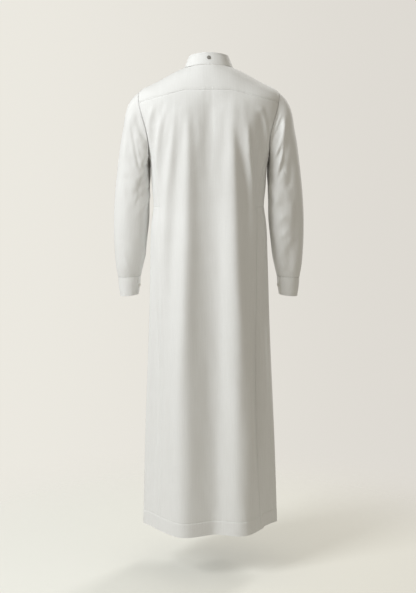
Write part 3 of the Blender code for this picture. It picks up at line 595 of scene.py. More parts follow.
def stitch_mesh(name, lines):
    """Stitches lying on the cloth along lines, each (points, normals) in mm."""
    points, faces = [], []
    for line, normal in lines:
        run = run_along(line, 0)
        for number in range(int(run[-1] / STITCH_PITCH)):
            bends = []
            for share, lift in STITCH_BENDS:
                place = (number + 0.5) * STITCH_PITCH + (share - 0.5) * (STITCH_PITCH - STITCH_GAP)
                at = np.array([np.interp(place, run, line[:, axis]) for axis in range(3)])
                out = np.array([np.interp(place, run, normal[:, axis]) for axis in range(3)])
                bends.append((at, out / np.linalg.norm(out), lift))
            along = bends[-1][0] - bends[0][0]
            first = len(points)
            for at, out, lift in bends:
                side = np.cross(along, out)
                side *= THREAD_HALF / np.linalg.norm(side)
                middle, up = at + out * lift, out * THREAD_HALF
                points += [middle - side, middle + up, middle + side, middle - up]
            for ring in range(3):
                for k in range(4):
                    a, b = first + ring * 4 + k, first + ring * 4 + (k + 1) % 4
                    faces.append((a, b, b + 4, a + 4))
            faces.append((first + 3, first + 2, first + 1, first))
            faces.append((first + 12, first + 13, first + 14, first + 15))
    mesh = bpy.data.meshes.new(name)
    mesh.from_pydata((np.array(points) * MM).tolist(), [], faces)
    mesh.shade_smooth()
    return mesh


def add_piece(mesh, material, nodes=()):
    """Put a finished mesh in the scene, riding on the robe, in place of its plain solids."""
    mesh.materials.append(material)
    piece = bpy.data.objects.new(mesh.name, mesh)
    bpy.context.scene.collection.objects.link(piece)
    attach(piece, "root")
    if nodes:
        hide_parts(*nodes)
    return piece


def wire(tree, node, inputs):
    """Set each input of a node to a value, or link it to another node's output."""
    for name, value in inputs.items():
        if isinstance(value, bpy.types.NodeSocket):
            tree.links.new(value, node.inputs[name])
        else:
            node.inputs[name].default_value = value


def add_node(tree, kind, inputs=None, **settings):
    node = tree.nodes.new("ShaderNode" + kind)
    for name, value in settings.items():
        setattr(node, name, value)
    wire(tree, node, inputs or {})
    return node


def new_material(name, values):
    """A material with these values on its shader, its node tree and that shader."""
    material = bpy.data.materials.new(name)
    material.use_nodes = True
    tree = material.node_tree
    shader = tree.nodes["Principled BSDF"]
    wire(tree, shader, values)
    return material, tree, shader


def colour_between(tree, share, first, second):
    """A colour that runs from first to second as share goes from 0 to 1."""
    inputs = {"A": first, "B": second, "Factor": share}
    return add_node(tree, "Mix", inputs, data_type="RGBA").outputs["Result"]


def piece_noise(tree, values):
    """Noise that is fixed to its piece."""
    place = add_node(tree, "TexCoord").outputs["Object"]
    return add_node(tree, "TexNoise", {"Vector": place, **values}).outputs["Fac"]


def weave_group():
    """Plain weave over UVs in metres: a Height for bump, and a colour share from the slubs' real
    tone plus painted shade between the threads.
    """
    group = bpy.data.node_groups.new("plain_weave", "ShaderNodeTree")
    for name, way, kind in (
        ("Cloth", "INPUT", "NodeSocketVector"),
        ("Threads per metre", "INPUT", "NodeSocketFloat"),
        ("Slub", "INPUT", "NodeSocketFloat"),
        ("Height", "OUTPUT", "NodeSocketFloat"),
        ("Tint", "OUTPUT", "NodeSocketFloat"),
    ):
        group.interface.new_socket(name, in_out=way, socket_type=kind)
    given = group.nodes.new("NodeGroupInput").outputs
    outputs = group.nodes.new("NodeGroupOutput")

    def math_node(operation, *values):
        node = add_node(group, "Math", dict(enumerate(values)), operation=operation)
        return node.outputs[0]

    def round_thread(place):
        return math_node("ABSOLUTE", math_node("SINE", math_node("MULTIPLY", place, math.pi)))

    parts = add_node(group, "SeparateXYZ", {0: given["Cloth"]}).outputs
    warp = math_node("MULTIPLY", parts["X"], given["Threads per metre"])
    weft = math_node("MULTIPLY", parts["Y"], given["Threads per metre"])
    crossing = math_node("ADD", math_node("FLOOR", warp), math_node("FLOOR", weft))
    over = math_node("ABSOLUTE", math_node("MODULO", crossing, 2.0))
    height = math_node(
        "ADD",
        math_node("MULTIPLY", round_thread(warp), over),
        math_node("MULTIPLY", round_thread(weft), math_node("SUBTRACT", 1.0, over)),
    )
    # Slubs along the weft and the warp and broad bands: noise cells per metre of cloth.
    streaks = []
    for stretch in ((900.0, 35.0, 1.0), (30.0, 700.0, 1.0), (290.0, 13.0, 1.0)):
        place = {0: given["Cloth"], 1: stretch}
        scaled = add_node(group, "VectorMath", place, operation="MULTIPLY").outputs[0]
        noise = add_node(group, "TexNoise", {"Vector": scaled, "Scale": 1.0, "Detail": 2.0})
        streaks.append(noise.outputs["Fac"])
    broad = math_node("MULTIPLY", math_node("SUBTRACT", streaks[2], 0.5), 2.2)
    slub = math_node("SUBTRACT", math_node("ADD", streaks[0], streaks[1]), 1.0)
    slub = math_node("MULTIPLY", math_node("ADD", slub, broad), given["Slub"])
    # Colour share: the slubs' real tone, plus painted shade that darkens the cloth between the
    # threads.
    tone_and_gap_shade = math_node("ADD", math_node("MULTIPLY", height, 0.25), math_node("ADD", slub, 0.45))
    wire(group, outputs, {"Height": math_node("ADD", height, slub), "Tint": tone_and_gap_shade})
    return group


def cloth_material():
    """White woven cotton with a fine plain weave, faint slubs, painted shade between its threads
    and a slight sheen.
    """
    finish = {"Roughness": 0.78, "Specular IOR Level": 0.3}
    finish |= {"Sheen Weight": 0.12, "Sheen Roughness": 0.45}
    material, tree, shader = new_material("white_cotton", finish)
    flat = add_node(tree, "UVMap", uv_map="cloth").outputs["UV"]
    threads = {"Cloth": flat, "Threads per metre": 2400.0, "Slub": 0.5}
    weave = add_node(tree, "Group", threads, node_tree=weave_group()).outputs
    relief = {"Height": weave["Height"], "Strength": 0.35, "Distance": 0.0002}
    normal = add_node(tree, "Bump", relief).outputs["Normal"]
    # The base colour follows the slubs and the painted shade between the threads.
    colour = colour_between(tree, weave["Tint"], (0.78, 0.78, 0.765, 1), (0.84, 0.84, 0.83, 1))
    wire(tree, shader, {"Base Color": colour, "Normal": normal})
    return material


def thread_material(name, dark, light):
    """Sewing thread, twisted from lighter and darker strands."""
    material, tree, shader = new_material(name, {"Roughness": 0.6, "Sheen Weight": 0.2})
    twist = piece_noise(tree, {"Scale": 1500.0})
    wire(tree, shader, {"Base Color": colour_between(tree, twist, dark, light)})
    return material


CLOTH = cloth_material()
THREAD = thread_material("white_thread", (0.70, 0.70, 0.68, 1), (0.84, 0.84, 0.82, 1))


def sew_panel(name, points, seams, stitched=(), pressed=(), hem=False, felled=(), slit=None):
    """Make a panel of the cloth and its rows of stitches.

    stitched are the grooves that carry stitches, and pressed are those that don't.  Returns the
    panel, its stitches and the points of its outer face.
    """
    normal = surface_normals(points)
    outer = rolled(points, normal, seams, [*stitched, *pressed], hem, felled)
    mesh = shell_mesh(name + "_cloth", outer, inner_face(outer, normal, hem), left_out=slit)
    panel = add_piece(mesh, CLOTH, [name])
    lines = [line_beside(outer, "bottom", HEM_TURNING)] if hem else []
    lines += [line_beside(outer, *groove) for groove in stitched]
    stitches = add_piece(stitch_mesh(name + "_stitches", lines), THREAD) if lines else None
    return panel, stitches, outer


ARM_BACK_CLOCKS = graded(
    YOKE_BACK_CLOCK, GUSSET_BACK_CLOCK, ARM_ROWS, shares_of(SEAM_STEPS, ARMHOLE_MM_PER_DEGREE)
)
GUSSET_TOP_SHARES = (0.007, 0.015, 0.025)
GUSSET_SHARES = graded(0, 1, GUSSET_ROWS, GUSSET_TOP_SHARES, (*GUSSET_TOP_SHARES, 0.04))
SKIRT_DROPS = graded(WAIST_SEAM_DROP, HEM_DROP, SKIRT_ROWS, SEAM_STEPS, HEM_STEPS)
SIDE_BACK = side_seam(SIDE_SEAM_BACK, SKIRT_DROPS, False)
GUSSET_BACK = gusset_seam(GUSSET_BACK_CLOCK, SIDE_BACK[0], GUSSET_SHARES)
# The rows follow the slanted yoke seam at the top and are level this far below it.
LEVEL_BELOW_YOKE = 110


def back_places():
    """Rows of (angle, drop) down the back, each from the right edge to the left."""
    edge = np.concatenate((armhole(ARM_BACK_CLOCKS), GUSSET_BACK[1:], SIDE_BACK[1:]))
    edge_x = section_x(edge[:, 0], edge[:, 1])
    share = np.linspace(0, 1, FINE_COLUMNS)
    seam = yoke_seam(share * edge_x[0])[:, 1]
    kept = 1 - smooth_step((edge[:, 1] - edge[0, 1]) / LEVEL_BELOW_YOKE)
    drops = edge[:, 1:] + (seam - seam[-1]) * kept[:, None]
    half = evenly(angle_at(share * edge_x[:, None], drops), drops, edge)
    return np.concatenate((half[:, :0:-1] * (-1, 1), half), axis=1)


points = on_body(back_places())
edge_run = run_along(points, 0)[:, 0]
arm_run = float(edge_run[len(ARM_BACK_CLOCKS) - 1])
waist_run = float(edge_run[len(ARM_BACK_CLOCKS) + len(GUSSET_SHARES) - 2])
back, back_stitches, _ = sew_panel(
    "back_panel",
    points,
    ("top", "start", "end"),
    stitched=[(edge, TOPSTITCH, 0, arm_run) for edge in ("start", "end")],
    pressed=[("top", 0.3, 0, TO_END), ("top", 0.6, 0, 125), ("top", 1.3, 0, TO_END)],
    hem=True,
    felled=[("end", waist_run)],
)


# ---------------------------------------------------------------- back yoke
# The yoke is one shaped piece of the same cotton over both shoulders, from the neck seam to a
# straight seam across the back and to the two shoulder seams, which lie a little forward.  Its
# lower edge and armholes are topstitched, and two tacks close the top of the pleat.

NECK_FRONT_ANGLE, SHOULDER_LENGTH = 108.0, 105
YOKE_ROWS, YOKE_SEAM_STEPS, YOKE_ARM_STEPS = 26, 34, 26
# Places on the neck seam follow the outer edge's length, and for the rest its angle.
NECK_BY_LENGTH = 0.75
TACK_HALF_WIDTH, TACK_LIFT = 1.75, 0.2
TACK_INSETS = np.arange(1.8, 9.2, 0.25)
SHOULDER_TOPSTITCH = 4.0


def yoke_places():
    """Rows of (angle, drop) from the neck seam out, each from the right front to the left."""
    corner_x = float(section_x(*armhole(YOKE_BACK_CLOCK)))
    seam = yoke_seam(graded(0.0, corner_x, YOKE_SEAM_STEPS))
    clocks = graded(YOKE_BACK_CLOCK, YOKE_FRONT_CLOCK - 360, YOKE_ARM_STEPS)
    half = np.concatenate((seam, armhole(clocks)[1:]))
    run = run_along(on_body(half, False), 0)
    share = NECK_BY_LENGTH * (run / run[-1]) + (1 - NECK_BY_LENGTH) * half[:, 0] / half[-1, 0]
    neck_angle = NECK_FRONT_ANGLE * share
    half_neck = np.stack((neck_angle, np.zeros_like(neck_angle)), axis=-1)
    outer = np.concatenate((half[:0:-1] * (-1, 1), half))
    neck = np.concatenate((half_neck[:0:-1] * (-1, 1), half_neck))
    near = shares_of(SEAM_STEPS, SHOULDER_LENGTH)
    return neck + (outer - neck) * graded(0, 1, YOKE_ROWS, near, near)[:, None, None]


# The back seam is pressed in deeper toward the wearer's right, where the shoulder pulls on it.
yoke, yoke_stitches, outer = sew_panel(
    "back_yoke",
    on_body(yoke_places()),
    ("top", "bottom", "start", "end"),
    stitched=[
        ("bottom", TOPSTITCH, 4, TO_END),
        ("start", SHOULDER_TOPSTITCH, 8, TO_END),
        ("end", SHOULDER_TOPSTITCH, 8, TO_END),
    ],
    pressed=[
        ("bottom", 1.0, 4, TO_END),
        ("bottom", 0.2, 4, TO_END),
        ("bottom", 0.6, 105, 235),
        ("bottom", 1.6, 105, 235),
    ],
)
bars = []
for inset in TACK_INSETS:
    line, line_normal = line_beside(outer, "bottom", inset)
    for x_tack in (-PLEAT_HALF_WIDTH, PLEAT_HALF_WIDTH):
        near = np.abs(line[:, 0] - x_tack).argmin()
        start = line[near] + (-TACK_HALF_WIDTH, 0, 0) + line_normal[near] * TACK_LIFT
        bar = np.array((start, start + (2 * TACK_HALF_WIDTH, 0, 0)))
        bars.append((bar, line_normal[[near, near]]))
# The tack thread is painted lighter than the sewing thread, to make up for the shade between its
# close-packed stitches.
yoke_tacks = add_piece(
    stitch_mesh("back_yoke_tacks", bars),
    thread_material("tack_thread_with_painted_light", (0.9, 0.9, 0.89, 1), (0.95, 0.95, 0.94, 1)),
)


# ---------------------------------------------------------------- front panel
# The front is one length of the same cotton from the neck to the hem.  A slit runs down its
# middle from the neck, under the placket.  It hangs in soft folds of its own.

SIDE_SEAM_FRONT = (
    SeamPoint(WAIST_SEAM_DROP, 150),
    SeamPoint(757, 154),
    SeamPoint(1026, 160),
    SeamPoint(HEM_DROP, 166),
)
SLIT_DROP, SLIT_HALF_GAP = 352.0, 0.3
SHOULDER_ROWS, ARM_FRONT_ROWS, ARM_STITCH_START = 24, 30, 4
ARM_FRONT_CLOCKS = graded(
    YOKE_FRONT_CLOCK,
    GUSSET_FRONT_CLOCK,
    ARM_FRONT_ROWS,
    near_end=shares_of(SEAM_STEPS, ARMHOLE_MM_PER_DEGREE),
)
SIDE_FRONT = side_seam(SIDE_SEAM_FRONT, SKIRT_DROPS, True)
GUSSET_FRONT = gusset_seam(GUSSET_FRONT_CLOCK, SIDE_FRONT[0], GUSSET_SHARES)


def front_places():
    """Rows of (angle, drop) down the front from left to right, and how many cross the shoulder."""
    neck = np.array((NECK_FRONT_ANGLE, 0.0))
    share = graded(0, 1, SHOULDER_ROWS, shares_of(SEAM_STEPS, SHOULDER_LENGTH))[:, None]
    shoulder = neck + (armhole(YOKE_FRONT_CLOCK) - neck) * share
    edge = np.concatenate(
        (shoulder, armhole(ARM_FRONT_CLOCKS)[1:], GUSSET_FRONT[1:], SIDE_FRONT[1:])
    )
    edge_x = section_x(edge[:, 0], edge[:, 1])
    x = SLIT_HALF_GAP + np.linspace(0, 1, FINE_COLUMNS) * (edge_x[:, None] - SLIT_HALF_GAP)
    drops = np.broadcast_to(edge[:, 1:], x.shape)
    half = evenly(angle_at(x, drops, front=True), drops, edge)
    right = half * (-1, 1) + (360, 0)
    return np.concatenate((half[:, ::-1], right), axis=1), len(shoulder)


places, shoulder_rows = front_places()
points = on_body(places)
edge_run = run_along(points, 0)[:, 0]
arm_rows = shoulder_rows + len(ARM_FRONT_CLOCKS) - 1
arm_first = float(edge_run[shoulder_rows - 1]) + ARM_STITCH_START
arm_last = float(edge_run[arm_rows - 1])
waist_run = float(edge_run[arm_rows + len(GUSSET_SHARES) - 2])
slit = np.zeros((len(points) - 1, points.shape[1] - 1), bool)
slit[places[1:, 0, 1] <= SLIT_DROP, points.shape[1] // 2 - 1] = True
front, front_stitches, _ = sew_panel(
    "front_panel",
    points,
    ("top", "start", "end"),
    stitched=[(edge, TOPSTITCH, arm_first, arm_last) for edge in ("start", "end")],
    hem=True,
    felled=[("start", waist_run), ("end", waist_run)],
    slit=slit,
)


# ---------------------------------------------------------------- front placket
# A strip of two layers of the cotton covers the slit.  It is edge-stitched down both sides and
# closed with two rows of stitching across its lower end.

PLACKET_HALF_WIDTH, PLACKET_WALL = 16.0, 1.4
PLACKET_TOP_DROP, PLACKET_END_DROP = 3.0, 359.7
PLACKET_COLUMNS, PLACKET_ROWS = 16, 110
# The two rows of stitching, in from the strip's edges and along its rounded face.
PLACKET_GROOVES, PLACKET_STITCHES = (2.2, 8.0), (2.9, 8.6)
PLACKET_GROOVE_DEPTH, PLACKET_GROOVE_WIDTH = 0.3, 0.9
BAND_EDGE = (0.12, 0.35, 0.7, 1.2, 1.8, 2.6, 4.0)
BAND_CORNER, BAND_FOOT = 0.7, 0.15


def band_height(distance, thick):
    """Height of a folded cloth edge above its base, this far in from the fold."""
    rise = np.clip(1 - distance / (thick * BAND_CORNER), 0, 1)
    return thick * (BAND_FOOT + (1 - BAND_FOOT) * np.sqrt(1 - rise**2))


x = graded(-PLACKET_HALF_WIDTH, PLACKET_HALF_WIDTH, PLACKET_COLUMNS, BAND_EDGE, BAND_EDGE)
drops = graded(
    PLACKET_TOP_DROP, PLACKET_END_DROP, PLACKET_ROWS, BAND_EDGE, BAND_EDGE + (7, 8, 9)
)
x, drops = np.meshgrid(x[::-1], drops)
angles = 180 - (angle_at(np.abs(x), drops, front=True) - 180) * -np.sign(x)
points = body(angles, drops)
normal = surface_normals(points)
distance = edge_distances(points)
from_side, from_end = np.minimum(distance["start"], distance["end"]), distance["bottom"]
height = np.minimum(band_height(from_side, PLACKET_WALL), band_height(from_end, PLACKET_WALL))
grooves = [(PLACKET_GROOVES[0], from_side), *((inset, from_end) for inset in PLACKET_GROOVES)]
for inset, from_edge in grooves:
    height = height - PLACKET_GROOVE_DEPTH * bell((from_edge - inset) / PLACKET_GROOVE_WIDTH)
base = points + normal * SEAM_GAP
outer = base + normal * height[..., None]
mesh = shell_mesh("front_placket_cloth", outer, base)
placket = add_piece(mesh, CLOTH, ["front_placket"])
lines = [line_beside(outer, edge, PLACKET_STITCHES[0]) for edge in ("start", "end", "bottom")]
lines.append(line_beside(outer, "bottom", PLACKET_STITCHES[1]))
placket_stitches = add_piece(stitch_mesh("front_placket_stitches", lines), THREAD)


# ---------------------------------------------------------------- underarm gussets
# A gusset fills each side from the armpit to the waist seam, cut narrower than the skirt's side
# panel below it, so the side seams step out at the waist seam.

GUSSET_COLUMNS, GUSSET_WIDTH = 22, 130


def between(first, second, top, bottom, down, across):
    """A patch between two side edges that takes the exact points of its top and bottom."""
    down, across = down[:, None, None], across[None, :, None]
    sides = first[:, None] * (1 - across) + second[:, None] * across
    ends = top[None] * (1 - down) + bottom[None] * down
    upper = top[0] * (1 - across) + top[-1] * across
    lower = bottom[0] * (1 - across) + bottom[-1] * across
    return sides + ends - upper * (1 - down) - lower * down


def on_right(places):
    """The same places on the wearer's right, still running clockwise seen from above."""
    return places[:, ::-1] * (-1, 1)


near = shares_of(SEAM_STEPS, GUSSET_WIDTH)
across = graded(0, 1, GUSSET_COLUMNS, near, near)
armpit = armhole(GUSSET_BACK_CLOCK + (GUSSET_FRONT_CLOCK - GUSSET_BACK_CLOCK) * across)
waist = SIDE_BACK[0] + (SIDE_FRONT[0] - SIDE_BACK[0]) * across[:, None]
left_places = between(GUSSET_BACK, GUSSET_FRONT, armpit, waist, GUSSET_SHARES, across)
for side, places in (("left", left_places), ("right", on_right(left_places))):
    gusset, _, _ = sew_panel(
        "underarm_gusset_" + side, on_body(places), ("top", "bottom", "start", "end")
    )


# ---------------------------------------------------------------- side panels
# The skirt's side panels flare from the waist seam to the hem.  Each hangs in shallow troughs on
# either side of its middle, so its turn at the side is soft.

SIDE_COLUMNS, SIDE_WIDTH = 30, 200
# A trough runs down the panel at y_waist to y_hem, counted from the side.
SideFold = namedtuple("SideFold", "y_waist y_hem out_knee out_hem wide")
SIDE_FOLDS = {
    "left": (
        SideFold(-34, -54, -4.5, -10, 21),
        SideFold(32, 47, -3, -7.5, 18),
        SideFold(2, -5, -3, -4, 14),
    ),
    "right": (
        SideFold(-27, -42, -5.5, -8.5, 18),
        SideFold(30, 44, -4, -5, 23),
        SideFold(-3, 9, -2.5, -3.5, 12),
    ),
}
SIDE_FOLD_INSET, SIDE_FOLD_TOP, SIDE_FOLD_FADE = 30, 15, 330
# The back edge of the right panel is pressed flat instead of rolled, so its seam stays faint.
SIDE_SEAMS = {"left": ("top", "start", "end"), "right": ("top", "start")}


def side_hung(points, drop, folds):
    """Points of a side panel (mm) with its troughs pressed in, away from its seams."""
    distance = edge_distances(points)
    inside = smooth_step(np.minimum(distance["start"], distance["end"]) / SIDE_FOLD_INSET)
    down = smooth_step((drop - WAIST_SEAM_DROP - SIDE_FOLD_TOP) / SIDE_FOLD_FADE)
    share = (drop - WAIST_SEAM_DROP) / (HEM_DROP - WAIST_SEAM_DROP)
    push = np.zeros_like(share)
    for fold in folds:
        y = fold.y_waist + (fold.y_hem - fold.y_waist) * share
        out = fold.out_knee + (fold.out_hem - fold.out_knee) * share
        wide = fold.wide * (0.75 + 0.45 * share)
        push = push + out * bell((points[..., 1] - y) / wide)
    return points + surface_normals(points) * (push * inside * down)[..., None]


near = shares_of(SEAM_STEPS, SIDE_WIDTH)
across = graded(0, 1, SIDE_COLUMNS, near, near)
waist, hem = (
    SIDE_BACK[row] + (SIDE_FRONT[row] - SIDE_BACK[row]) * across[:, None] for row in (0, -1)
)
down = (SKIRT_DROPS - WAIST_SEAM_DROP) / (HEM_DROP - WAIST_SEAM_DROP)
left_places = between(SIDE_BACK, SIDE_FRONT, waist, hem, down, across)
for side, places in (("left", left_places), ("right", on_right(left_places))):
    points = side_hung(on_body(places), places[..., 1], SIDE_FOLDS[side])
    panel, stitches, _ = sew_panel("side_panel_" + side, points, SIDE_SEAMS[side], hem=True)


# ---------------------------------------------------------------- sleeves
# Each sleeve is one piece, set into the armhole and joined along its underside.  The sleeves
# hang at the sides, and the cloth breaks into slanting creases over the upper arm and elbow.

SleeveRing = namedtuple(
    "SleeveRing", "along outer_x outer_z inner_x inner_z half_depth y_middle"
)
SLEEVE_RINGS = rows_of(
    SleeveRing,
    (0, 216, -74, 189, -262, 62.5, 0),  # armhole
    (25, 240, -98, 189.5, -276, 64, 0),
    (55, 257, -134, 189.5, -290, 65, 0),
    (90, 265, -176, 189, -308, 65, -1),
    (130, 274, -224, 188, -330, 64, -2),
    (175, 281.5, -275, 187, -355, 62.5, -4),
    (225, 289, -334, 186, -385, 61, -7),
    (280, 296, -399, 187.5, -424, 59, -11),
    (335, 300, -462, 189, -472, 57, -16),
    (395, 300.5, -524, 195, -524, 54, -21),
    (455, 299, -584, 201, -580, 50, -27),
    (505, 294.5, -634, 212, -629, 43.5, -32),
    (527, 290.5, -654, 217.5, -650, 38, -34),  # cuff seam
)
SLEEVE_AT = spline([ring.along for ring in SLEEVE_RINGS], [ring[1:] for ring in SLEEVE_RINGS])
SLEEVE_END, SLEEVE_RADIUS, SLEEVE_COLUMNS, SLEEVE_ROWS = SLEEVE_RINGS[-1].along, 58, 144, 130
ARMHOLE_BLEND = 120.0
# Below the armpit the inner side of each sleeve rests near the body.
REST_CLOCK, REST_HALF_CLOCK, REST_DEPTH = 209.0, 27.0, 8.6
REST_START, REST_GROW, REST_FADE, REST_END = 25, 55, 110, 235

# Long soft folds, from one place (along the sleeve, clock angle) to another.
SleeveFold = namedtuple("SleeveFold", "along_1 clock_1 along_2 clock_2 out wide")
SLEEVE_FOLDS = {
    "left": (
        SleeveFold(40, 62, 150, 128, -4.0, 13),
        SleeveFold(150, 150, 265, 100, -4.0, 14),
        SleeveFold(205, 165, 330, 112, 4.0, 14),
        SleeveFold(60, 300, 170, 232, -4.0, 14),
        SleeveFold(380, 120, 470, 160, 3.0, 14),
    ),
    "right": (
        SleeveFold(30, 70, 160, 118, 4.5, 12),
        SleeveFold(55, 52, 190, 118, -4.0, 12),
        SleeveFold(170, 160, 290, 110, 4.0, 15),
        SleeveFold(70, 298, 180, 235, -4.0, 14),
        SleeveFold(380, 70, 480, 130, 3.5, 15),
    ),
}
FOLD_END_FADE, CREASE_TOP_FADE, CREASE_CUFF_FADE, CREASE_SIDE_FADE = 40, 14, 10, 0.3

# Creases seen from behind and from in front, with x given as on the left sleeve.
SLEEVE_BACK_CREASES = {
    "left": rows_of(
        Crease,
        (223, -121, 210, -191, 179, -235, -4.1, 8.5, 1.05),
        (207, -117, 199, -160, 181, -205, 1.8, 5, 0.8),
        (213, -210, 212, -253, 201, -292, -2.6, 9, 1),
        (218, -308, 195, -273, 179, -234, 4.1, 10.5, 1),
        (214, -319, 195, -302, 175, -298, -2.8, 5.5, 1),
        (220, -375, 200, -359, 174, -323, 4.1, 9.5, 1.1),
        (219, -401, 199, -366, 179, -353, 2.8, 7.5, 1),
        (209, -444, 193, -406, 178, -372, 4.1, 5.5, 1),
        (219, -368, 208, -329, 192, -312, 2.0, 5, 1),
        (226, -425, 221, -405, 212, -388, -1.4, 5, 1),
        (284, -440, 262, -473, 236, -500, 0.5, 7.5, 1),
        (290, -521, 261, -538, 230, -560, -1.1, 9, 1),
        (228, -120, 224, -215, 210, -265, -3.0, 9.5, 1),
        (243, -159, 241, -255, 226, -321, -4.1, 13, 1),
        (250, -150, 260, -233, 263, -325, 2.9, 7, 0.95),
        (204, -447, 212, -483, 226, -551, 2.4, 10.5, 1),
        (221, -481, 228, -565, 242, -633, -1.0, 11, 1),
        (273, -554, 261, -593, 253, -637, 2.2, 9, 1),
        (214, -559, 220, -618, 240, -648, 2.6, 7, 1),
        (234, -332, 221, -374, 229, -426, 2.3, 8, 1),
        (263, -319, 250, -365, 253, -436, -3.4, 13.5, 1),
        (203, -296, 210, -322, 224, -354, 4.1, 11, 1.05),
        (274, -380, 276, -470, 282, -559, -1.4, 12.5, 1.05),
    ),
    "right": rows_of(
        Crease,
        (209, -99, 192, -160, 174, -229, 4.1, 6, 0.8),
        (216, -129, 203, -175, 176, -245, -4.3, 5, 1),
        (220, -135, 209, -172, 185, -217, 2.7, 5, 0.8),
        (224, -147, 213, -182, 188, -229, -2.7, 5, 1),
        (226, -151, 223, -223, 182, -304, 4.9, 8, 0.8),
        (228, -180, 224, -237, 209, -289, -3.4, 6.5, 1),
        (239, -211, 235, -275, 221, -331, 2.7, 5.5, 0.8),
        (190, -464, 211, -410, 231, -339, 4.9, 14, 1.1),
        (190, -474, 212, -453, 231, -417, 2.0, 11, 1.05),
        (240, -128, 252, -204, 262, -297, -1.9, 12, 1),
        (229, -140, 236, -199, 240, -268, 2.2, 8.5, 1),
        (251, -245, 253, -334, 234, -376, -4.9, 13, 1),
        (262, -326, 260, -393, 238, -432, -2.4, 14, 1),
        (201, -407, 214, -337, 234, -312, 4.9, 14, 1.1),
        (204, -545, 218, -475, 253, -452, 4.9, 14, 1.15),
        (214, -580, 228, -519, 259, -518, 4.9, 14, 1.15),
        (268, -439, 269, -525, 275, -615, -3.2, 14, 1.05),
        (239, -510, 254, -589, 248, -655, -3.5, 13, 1.05),
        (281, -384, 279, -461, 291, -554, -4.9, 14, 1.15),
        (221, -598, 232, -613, 245, -633, 2.6, 8, 1),
        (197, -342, 208, -296, 236, -270, 4.9, 12.5, 1.1),
    ),
}
SLEEVE_FRONT_CREASES = {
    "left": rows_of(
        Crease,
        (222, -140, 206, -190, 184, -240, -3.9, 6, 1),
        (236, -180, 214, -240, 190, -300, 3.3, 7, 0.8),
        (214, -300, 238, -330, 262, -366, -3, 7, 1),
        (206, -340, 232, -372, 258, -410, 3, 7, 1),
        (210, -384, 234, -416, 256, -452, -2.4, 7, 1),
        (280, -500, 256, -530, 226, -556, 2.1, 8, 1),
    ),
    "right": rows_of(
        Crease,
        (220, -132, 204, -184, 182, -238, 3.9, 6, 0.8),
        (230, -160, 212, -220, 186, -280, -3.6, 6, 1),
        (240, -206, 222, -262, 198, -320, 3, 7, 1),
        (208, -330, 234, -360, 260, -398, -3, 7, 1),
        (206, -372, 230, -404, 256, -442, 2.7, 7, 1),
        (282, -510, 258, -538, 228, -566, -2.1, 8, 1),
    ),
}

# The underarm seam: a groove beside a low ridge, and small gathers at the cuff.
UNDERARM_CLOCK, UNDERARM_MM_PER_DEGREE, UNDERARM_TOP_FADE = 171.5, 1.05, 20
UNDERARM_GROOVE, UNDERARM_GROOVE_WIDTH = 0.7, 1.6
UNDERARM_RIDGE, UNDERARM_RIDGE_MIDDLE, UNDERARM_RIDGE_WIDTH = 0.25, 4, 2.5
CUFF_SEAM_LIFT, GATHER_LENGTH = 0.6, 9
# Gathers as (size, how many go round the sleeve, start in degrees).
GATHERS = ((0.5, 26, 0), (0.35, 41, 70))


def ring_points(ring, clock):
    """Points round a sleeve section (mm), for the columns outer_x ... y_middle."""
    outer_x, outer_z, inner_x, inner_z, half_depth, y_middle = np.moveaxis(ring, -1, 0)
    turn = np.radians(clock)
    share = np.cos(turn)
    x = (outer_x + inner_x) / 2 + (outer_x - inner_x) / 2 * share
    z = (outer_z + inner_z) / 2 + (outer_z - inner_z) / 2 * share
    return np.stack((x, y_middle + half_depth * np.sin(turn), z), axis=-1)


